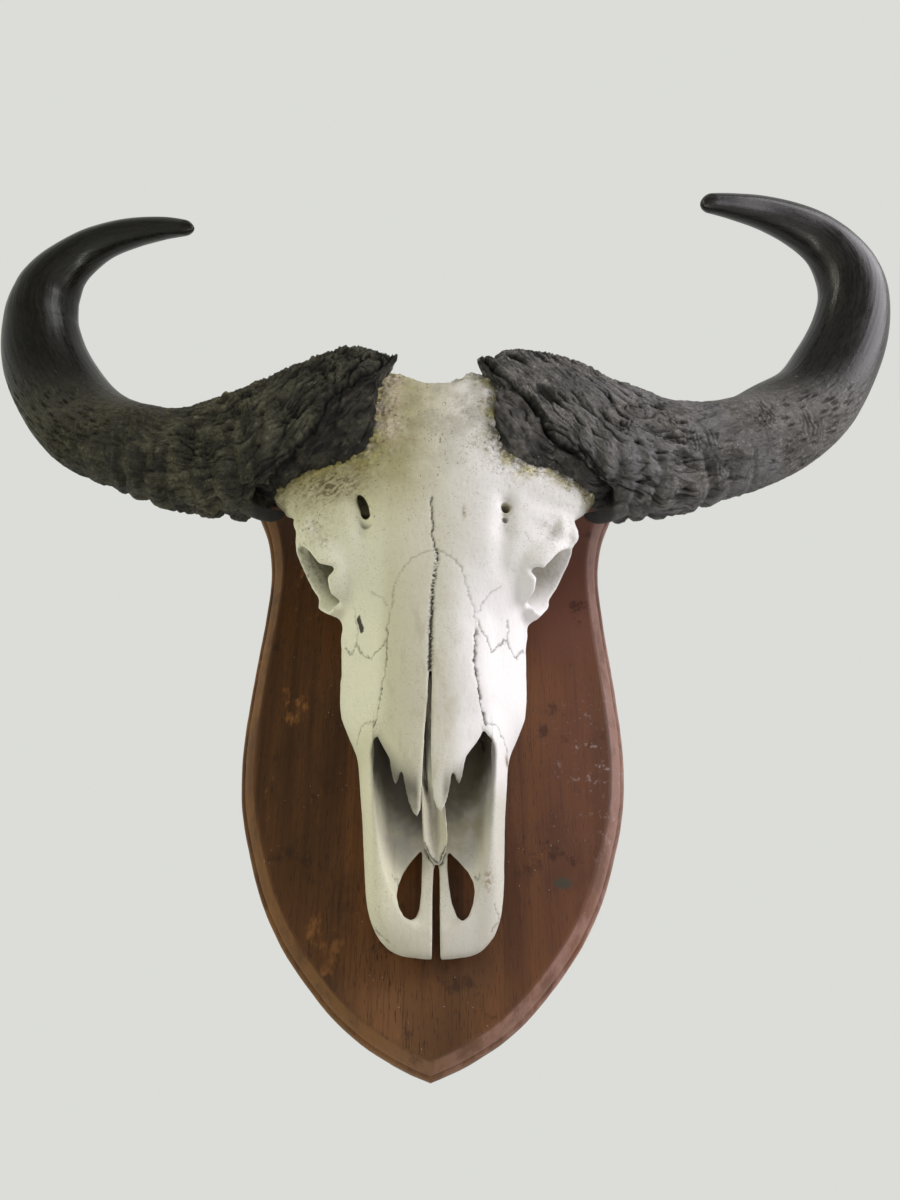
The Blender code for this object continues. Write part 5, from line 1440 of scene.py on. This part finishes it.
    # inside the nose: lilac grey dust on its floor, and painted shade, dark olive, over its upper part
    floor = m.math("MULTIPLY", m.ramp(sides["Y"], -0.088, -0.066), m.ramp(sides["Z"], -0.150, -0.120))
    floor = m.math("MULTIPLY", floor, m.ramp(m.math("ABSOLUTE", m.math("SUBTRACT", sides["X"], 0.001)), 0.047, 0.040))
    colour = m.mix(m.math("MULTIPLY", floor, m.ramp(m.noise(c, 70.0, 4.0, 0.6), 0.36, 0.64, 0.20, 0.60)), colour,
                   m.mix(m.ramp(sides["X"], -0.012, 0.012), (0.43, 0.385, 0.40), (0.42, 0.375, 0.195)))
    # the colour of the painted shade in the nose
    deep = m.mix(m.ramp(sides["X"], -0.012, 0.012), (0.100, 0.085, 0.070), (0.110, 0.088, 0.046))
    colour = m.mix(m.math("MULTIPLY", m.attribute("deep"), 0.90), colour, deep)
    # painted shade in the eye sockets and brow holes, near black under the horns beside the pedicles
    hollow = m.mix(m.ramp(sides["X"], -0.05, 0.05), (0.078, 0.066, 0.024), (0.38, 0.350, 0.290))
    brow_hole = m.math("MULTIPLY", m.ramp(m.math("ABSOLUTE", sides["X"]), 0.078, 0.072), m.ramp(sides["Z"], 0.112, 0.116))
    hollow = m.mix(brow_hole, hollow, m.mix(m.ramp(sides["X"], -0.01, 0.01), (0.050, 0.042, 0.020), (0.390, 0.355, 0.220)))
    hollow = m.mix(m.ramp(m.math("ABSOLUTE", sides["X"]), 0.130, 0.138), hollow, (0.018, 0.014, 0.010))
    colour = m.mix(m.math("MULTIPLY", m.attribute("hollow"), m.ramp(patch, 0.30, 0.70, 0.80, 1.0)), colour, hollow)
    colour = m.mix(m.attribute("rust"), colour, (0.27, 0.165, 0.070))
    colour = m.mix(m.math("MULTIPLY", m.attribute("line"), 1.1, clamp=True), colour, (0.045, 0.037, 0.028))
    height = m.math("ADD", m.math("MULTIPLY", grain, 0.6), m.math("MULTIPLY", holes, -1.2))
    height = m.math("ADD", height, m.math("MULTIPLY", m.noise(c, 190.0, 5.0, 0.65), m.math("ADD", m.math("MULTIPLY", m.attribute("rough"), 2.6), 0.5)))
    normal = m.bump(height, 0.55, 0.0006)
    rough = m.ramp(patch, 0.3, 0.7, 0.52, 0.70)
    return m.finish(colour, rough, normal, Specular_IOR_Level=0.38)


def tooth_material():
    m = Nodes("tooth_enamel")
    c = m.coords
    streak = m.noise(m.mapped(c, (1, 0.25, 1)), 260.0, 4.0, 0.6)
    colour = m.mix(m.ramp(streak, 0.35, 0.65), (0.50, 0.43, 0.29), (0.68, 0.63, 0.50))
    depth = m.ramp(m.separate(c)["Y"], -0.052, -0.026, 0.0, 0.75)
    colour = m.mix(depth, colour, (0.20, 0.14, 0.075))
    normal = m.bump(streak, 0.35, 0.0004)
    return m.finish(colour, m.ramp(streak, 0.3, 0.7, 0.28, 0.45), normal)


def horn_material():
    m = Nodes("horn_sheath")
    c = m.coords
    flow = m.attribute("flow", "Vector")
    along = m.attribute("along")
    rough_zone = m.attribute("rough")
    under = m.attribute("under")
    fibre = m.noise(m.mapped(flow, (0.18, 1, 1)), 420.0, 5.0, 0.65)
    fine = m.noise(m.mapped(flow, (0.10, 1, 1)), 1500.0, 3.0, 0.6)
    broad = m.noise(c, 16.0, 4.0, 0.55)
    crumb = m.noise(c, 220.0, 5.0, 0.7)
    rough_colour = m.mix(m.ramp(broad, 0.35, 0.68), (0.034, 0.031, 0.024), (0.066, 0.061, 0.053))
    rough_colour = m.mix(m.ramp(crumb, 0.52, 0.64, 0.0, 0.60), rough_colour, (0.135, 0.127, 0.112))
    rough_colour = m.mix(m.ramp(crumb, 0.47, 0.36, 0.0, 0.75), rough_colour, (0.012, 0.010, 0.008))
    rough_colour = m.mix(m.ramp(fibre, 0.52, 0.34, 0.0, 0.65), rough_colour, (0.016, 0.014, 0.011))
    rough_colour = m.mix(m.math("MULTIPLY", m.attribute("high"), 0.60), rough_colour, (0.165, 0.155, 0.138))
    rough_colour = m.mix(1.0, rough_colour, m.mix(m.ramp(along, 0.10, 0.20), (1.0, 1.0, 1.0), (1.38, 1.35, 1.27)), "MULTIPLY")
    smooth_colour = m.mix(m.ramp(fibre, 0.35, 0.70), (0.0038, 0.0035, 0.0032), (0.0095, 0.0086, 0.0075))
    colour = m.mix(m.ramp(along, 0.30, 0.44, 1.0, 0.0), smooth_colour, rough_colour)
    colour = m.mix(m.math("MULTIPLY", under, m.ramp(m.noise(c, 70.0, 4.0, 0.65), 0.40, 0.62, 0.85, 0.35)), colour, (0.026, 0.021, 0.019))
    colour = m.mix(m.math("MULTIPLY", m.attribute("worn"), 0.6), colour, (0.150, 0.142, 0.128))
    # pale flakes and dust
    flake = m.math("MULTIPLY", m.ramp(m.noise(c, 480.0, 3.0, 0.6), 0.62, 0.70), m.ramp(m.noise(c, 60.0, 3.0, 0.6), 0.48, 0.64))
    colour = m.mix(m.math("MULTIPLY", flake, m.math("MULTIPLY", rough_zone, 0.8)), colour, (0.36, 0.34, 0.30))
    scratch = m.math("MULTIPLY", m.ramp(m.noise(m.mapped(flow, (0.30, 1, 1)), 620.0, 2.0, 0.5), 0.70, 0.76), m.ramp(m.noise(c, 34.0, 3.0, 0.6), 0.50, 0.62))
    scratch = m.math("MULTIPLY", scratch, m.math("MULTIPLY", m.ramp(along, 0.12, 0.20), m.ramp(along, 0.44, 0.38)))
    colour = m.mix(m.math("MULTIPLY", scratch, 0.8), colour, (0.42, 0.40, 0.37))
    colour = m.mix(m.math("MULTIPLY", m.attribute("pale"), 0.75), colour, (0.26, 0.245, 0.21))
    blotch = m.ramp(m.noise(c, 48.0, 4.0, 0.6), 0.40, 0.60)
    colour = m.mix(rough_zone, colour, m.mix(1.0, colour, m.mix(blotch, (0.55, 0.55, 0.55), (1.42, 1.42, 1.42)), "MULTIPLY"))
    # the animal's right horn is darker and olive, its left one lighter, with lilac grey over its rough part: partly
    # their own colour and dust, partly painted light and sheen from the lamps on that side
    tone_and_side_light = m.mix(m.ramp(m.separate(c)["X"], -0.10, 0.06), (0.87, 0.87, 0.64), (1.70, 1.68, 1.84))
    colour = m.mix(1.0, colour, tone_and_side_light, "MULTIPLY")
    dust_and_sheen = m.math("MULTIPLY", m.ramp(m.separate(c)["X"], 0.06, 0.20), m.ramp(m.noise(c, 24.0, 5.0, 0.6), 0.38, 0.60, 0.12, 0.70))
    colour = m.mix(m.math("MULTIPLY", dust_and_sheen, rough_zone), colour, (0.235, 0.226, 0.244))
    # painted shade: cracks, slits, crevices, creases and hollows near black
    colour = m.mix(m.attribute("dark"), colour, (0.006, 0.005, 0.004))
    height = m.math("ADD", m.math("MULTIPLY", fibre, 0.7), m.math("MULTIPLY", fine, 0.35))
    height = m.math("ADD", height, m.math("MULTIPLY", crumb, 1.5))
    chips = m.ramp(m.noise(m.mapped(flow, (0.45, 1, 1)), 150.0, 7.0, 0.78), 0.44, 0.56)
    height = m.math("ADD", height, m.math("MULTIPLY", m.math("MULTIPLY", chips, rough_zone), 0.8))
    pitted = m.ramp(m.noise(c, 560.0, 5.0, 0.72), 0.58, 0.46)
    height = m.math("ADD", height, m.math("MULTIPLY", m.math("MULTIPLY", pitted, rough_zone), -0.8))
    scaled = m.math("MULTIPLY", height, m.ramp(along, 0.30, 0.46, 1.0, 0.05))
    normal = m.bump(scaled, 0.9, 0.0020)
    rough = m.ramp(along, 0.28, 0.45, 0.54, 0.29)
    rough = m.math("ADD", rough, m.ramp(fibre, 0.3, 0.7, -0.05, 0.07))
    return m.finish(colour, rough, normal, Specular_IOR_Level=0.34)


def wood_material():
    m = Nodes("stained_hardwood")
    c = m.coords
    parts = m.separate(c)
    bent = m.noise(m.mapped(c, (1, 1, 0.35)), 7.0, 3.0, 0.5)
    stretched = m.mapped(c, (1, 1, 0.045))
    figure = m.noise(stretched, 46.0, 5.0, 0.6, distortion=0.6)
    grain = m.noise(m.mapped(c, (1, 1, 0.025)), 420.0, 4.0, 0.6)
    pores = m.noise(m.mapped(c, (1, 1, 0.07)), 1250.0, 2.0, 0.5)
    colour = m.mix(m.ramp(figure, 0.34, 0.66), (0.060, 0.0235, 0.0085), (0.138, 0.054, 0.0185))
    colour = m.mix(m.ramp(bent, 0.46, 0.66, 0.0, 0.75), colour, (0.185, 0.074, 0.024))
    mottle = m.noise(m.mapped(c, (1, 1, 0.6)), 15.0, 5.0, 0.62)
    colour = m.mix(m.ramp(mottle, 0.50, 0.34, 0.0, 0.55), colour, (0.040, 0.018, 0.0085))
    # painted shade: the board darker towards the left
    colour = m.mix(m.ramp(parts["X"], -0.045, -0.120, 0.0, 0.45), colour, (0.050, 0.024, 0.008))
    middle = m.math("MULTIPLY", m.ramp(m.math("ABSOLUTE", parts["X"]), 0.10, 0.03), m.ramp(parts["Z"], -0.19, -0.25))
    colour = m.mix(m.math("MULTIPLY", middle, m.ramp(bent, 0.35, 0.65, 0.25, 0.75)), colour, (0.190, 0.088, 0.038))
    colour = m.mix(m.ramp(grain, 0.52, 0.70, 0.0, 0.5), colour, (0.045, 0.018, 0.009))
    colour = m.mix(m.math("MULTIPLY", m.ramp(pores, 0.60, 0.68), 0.75), colour, (0.022, 0.011, 0.007))
    # painted light: the board lighter towards the right and at its upper right
    right = m.ramp(parts["X"], 0.02, 0.15, 0.0, 0.45)
    right = m.math("MAXIMUM", right, m.math("MULTIPLY", m.ramp(parts["Z"], 0.02, 0.12), m.ramp(parts["X"], 0.07, 0.12, 0.0, 0.95)))
    colour = m.mix(right, colour, (0.165, 0.064, 0.044))
    blot = m.math("MULTIPLY", m.ramp(m.noise(c, 26.0, 5.0, 0.7), 0.58, 0.68), 0.6)
    colour = m.mix(blot, colour, (0.030, 0.015, 0.010))
    warm = m.math("MULTIPLY", m.ramp(m.noise(m.mapped(c, (1, 1, 0.5)), 34.0, 4.0, 0.7), 0.60, 0.72), m.ramp(parts["X"], 0.0, -0.13, 0.0, 0.9))
    colour = m.mix(warm, colour, (0.26, 0.11, 0.035))
    # worn moulding: the front of the board is flat, so anything below it is the edge. Rubbed patches are lighter,
    # greyer towards the right: wear with painted sheen. The bevel facing forward gets a painted highlight.
    edge = m.ramp(parts["Y"], -0.0226, -0.0212, 0.0, 1.0)
    rub = m.math("MULTIPLY", edge, m.ramp(m.noise(m.mapped(c, (1, 1, 0.4)), 38.0, 5.0, 0.7), 0.40, 0.60, 0.15, 0.75))
    lip = m.ramp(m.math("ABSOLUTE", m.math("SUBTRACT", m.separate(m.add("ShaderNodeNewGeometry").outputs["Normal"])["Y"], -0.55)), 0.30, 0.05)
    worn = m.mix(m.ramp(parts["X"], -0.06, 0.10), (0.205, 0.098, 0.034), (0.33, 0.185, 0.160))
    colour = m.mix(rub, colour, worn)
    colour = m.mix(m.math("MULTIPLY", m.math("MULTIPLY", lip, edge), 0.30), colour, m.mix(m.ramp(parts["X"], -0.06, 0.10), (0.26, 0.135, 0.060), (0.36, 0.22, 0.17)))
    # scuffs on the right, one dull green stain low on the right, and light specks
    scuff = m.math("MULTIPLY", m.ramp(m.noise(c, 90.0, 6.0, 0.75), 0.56, 0.70), m.ramp(parts["X"], 0.09, 0.165, 0.0, 0.75))
    scuff = m.math("MULTIPLY", scuff, m.ramp(m.math("ABSOLUTE", m.math("SUBTRACT", parts["Z"], -0.045)), 0.11, 0.03))
    colour = m.mix(scuff, colour, (0.42, 0.36, 0.34))
    sx = m.math("DIVIDE", m.math("SUBTRACT", parts["X"], 0.116), 0.0085)
    sz = m.math("DIVIDE", m.math("SUBTRACT", parts["Z"], -0.1475), 0.0060)
    stain = m.math("ADD", m.math("MULTIPLY", sx, sx), m.math("MULTIPLY", sz, sz))
    stain = m.ramp(m.math("ADD", stain, m.math("MULTIPLY", m.noise(c, 160.0, 4.0, 0.7), 2.0)), 2.3, 1.2, 0.0, 0.8)
    colour = m.mix(stain, colour, (0.050, 0.062, 0.050))
    dots = m.math("MULTIPLY", m.ramp(m.voronoi(c, 150.0), 0.075, 0.045), m.ramp(m.noise(c, 24.0, 2.0, 0.5), 0.50, 0.58))
    colour = m.mix(m.math("MULTIPLY", dots, 0.7), colour, (0.48, 0.42, 0.36))
    back = m.ramp(parts["Y"], -0.0015, -0.0002)
    colour = m.mix(back, colour, m.mix(m.ramp(figure, 0.34, 0.66), (0.22, 0.105, 0.050), (0.33, 0.175, 0.090)))
    height = m.math("ADD", m.math("MULTIPLY", grain, 0.6), m.math("MULTIPLY", m.ramp(pores, 0.60, 0.68), -0.8))
    height = m.math("ADD", height, m.math("MULTIPLY", scuff, 0.8))
    normal = m.bump(height, 0.35, 0.0004)
    rough = m.ramp(m.noise(c, 60.0, 4.0, 0.6), 0.3, 0.7, 0.36, 0.50)
    rough = m.math("ADD", rough, m.math("MULTIPLY", m.math("MAXIMUM", rub, back), 0.22))
    return m.finish(colour, rough, normal, Specular_IOR_Level=0.27)


# ------------------------------------------------------------ scene assembly
def dress():
    shield = make_shield()
    shield.data.materials.append(wood_material())
    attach(shield, "root")
    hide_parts("plaque")

    bone = make_bone()
    dress_bone(bone)
    bone.name = bone.data.name = "skull_bone"
    bone.data.materials.clear()
    bone.data.materials.append(bone_material())
    bone.data.shade_smooth()
    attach(bone, "root")
    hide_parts("skull")

    teeth = make_teeth()
    teeth.data.materials.append(tooth_material())
    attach(teeth, "root")

    sheath = horn_material()
    for name, side, stations in (("horn_left", 1, HORN_LEFT), ("horn_right", -1, HORN_RIGHT)):
        horn = make_horn(name, stations, side)
        horn.data.materials.append(sheath)
        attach(horn, "root")
        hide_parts(name)


def studio():
    scene = bpy.context.scene
    floor_mesh = mesh_of("floor", [(-6, -6, -1.0), (6, -6, -1.0), (6, 6, -1.0), (-6, 6, -1.0)], [(0, 1, 2, 3)])
    floor = new_object("floor", floor_mesh)
    m = Nodes("floor_pale")
    floor.data.materials.append(m.finish((0.72, 0.72, 0.70, 1.0), 0.85))
    # a pale room whose windows are at the sides: darker in front of the object
    world = bpy.data.worlds.new("pale_room")
    world.use_nodes = True
    tree = world.node_tree
    direction = tree.nodes.new("ShaderNodeTexCoord").outputs["Generated"]
    apart = tree.nodes.new("ShaderNodeSeparateXYZ")
    tree.links.new(direction, apart.inputs[0])
    ahead = tree.nodes.new("ShaderNodeMapRange")
    ahead.interpolation_type = "SMOOTHSTEP"
    tree.links.new(apart.outputs["Y"], ahead.inputs["Value"])
    ahead.inputs["From Min"].default_value, ahead.inputs["From Max"].default_value = -0.95, 0.15
    blend = tree.nodes.new("ShaderNodeMix")
    blend.data_type = "RGBA"
    tree.links.new(ahead.outputs["Result"], blend.inputs["Factor"])
    blend.inputs[6].default_value = (0.245, 0.245, 0.225, 1.0)
    blend.inputs[7].default_value = (0.715, 0.722, 0.690, 1.0)
    tree.links.new(blend.outputs[2], tree.nodes["Background"].inputs["Color"])
    tree.nodes["Background"].inputs["Strength"].default_value = 1.0
    scene.world = world
    # name, place, aim, width, height, power, colour, what it does, and the piece it is kept to
    for name, at, aim, wide, tall, power, colour, does, only in (
        ("key", (1.75, -0.95, 0.75), (0.0, -0.12, 0.05), 1.0, 1.0, 36.0, (1.0, 0.98, 0.99), "diffuse", None),
        ("fill", (-1.75, -0.95, 0.35), (0.0, -0.12, 0.05), 1.0, 1.0, 13.0, (1.0, 1.0, 0.72), "diffuse", None),
        ("sheen", (1.75, -0.75, 0.55), (0.2, -0.12, 0.15), 1.2, 2.4, 40.0, (1.0, 0.97, 1.02), "glossy", ("horn_left_sheath", "skull_bone")),
        ("window", (1.45, -2.50, 0.60), (-0.3, -0.12, 0.15), 1.5, 3.0, 62.0, (0.98, 0.97, 1.0), "glossy", ("horn_right_sheath", "skull_bone")),
        ("gleam", (1.75, -0.95, 0.75), (0.1, -0.12, -0.10), 1.0, 1.6, 10.0, (1.0, 0.97, 0.97), "glossy", ("shield_board",)),
        ("lamp", (-1.50, -1.60, 0.40), (0.3, -0.12, 0.15), 0.45, 3.2, 30.0, (1.0, 1.0, 0.80), "glossy", ("horn_left_sheath",)),
        ("low", (0.0, -0.45, -0.85), (0.0, -0.25, 0.45), 1.4, 0.12, 6.0, (1.0, 1.0, 0.90), "glossy", ("horn_left_sheath", "horn_right_sheath")),
    ):
        light = bpy.data.lights.new(name, "AREA")
        light.shape, light.size, light.size_y, light.energy, light.color = "RECTANGLE", wide, tall, power, colour
        lamp = bpy.data.objects.new(name, light)
        scene.collection.objects.link(lamp)
        lamp.location = at
        lamp.rotation_euler = (Vector(aim) - Vector(at)).to_track_quat("-Z", "Y").to_euler()
        lamp.visible_glossy = does == "glossy"
        lamp.visible_diffuse = does == "diffuse"
        if only:
            kept = bpy.data.collections.new("lit_by_" + name)
            for piece in only:
                kept.objects.link(bpy.data.objects[piece])
            lamp.light_linking.receiver_collection = kept
    # the picture was taken from 30 degrees below the shield's normal, at 0.84 m
    camera = bpy.data.cameras.new("camera")
    camera.lens, camera.sensor_width, camera.sensor_fit = 30.0, 36.0, "AUTO"
    camera.clip_start, camera.clip_end = 0.02, 60.0
    eye = bpy.data.objects.new("camera", camera)
    scene.collection.objects.link(eye)
    aim = Vector((0.0140, -0.192, 0.0455))
    away = Vector((0.006 - 0.0140, -0.84 * math.cos(math.radians(30)), -0.84 * math.sin(math.radians(30))))
    eye.location = aim + away
    eye.rotation_euler = (-away).to_track_quat("-Z", "Y").to_euler()
    scene.camera = eye
    scene.view_settings.view_transform = "Standard"
    scene.view_settings.look = "None"


dress()
studio()
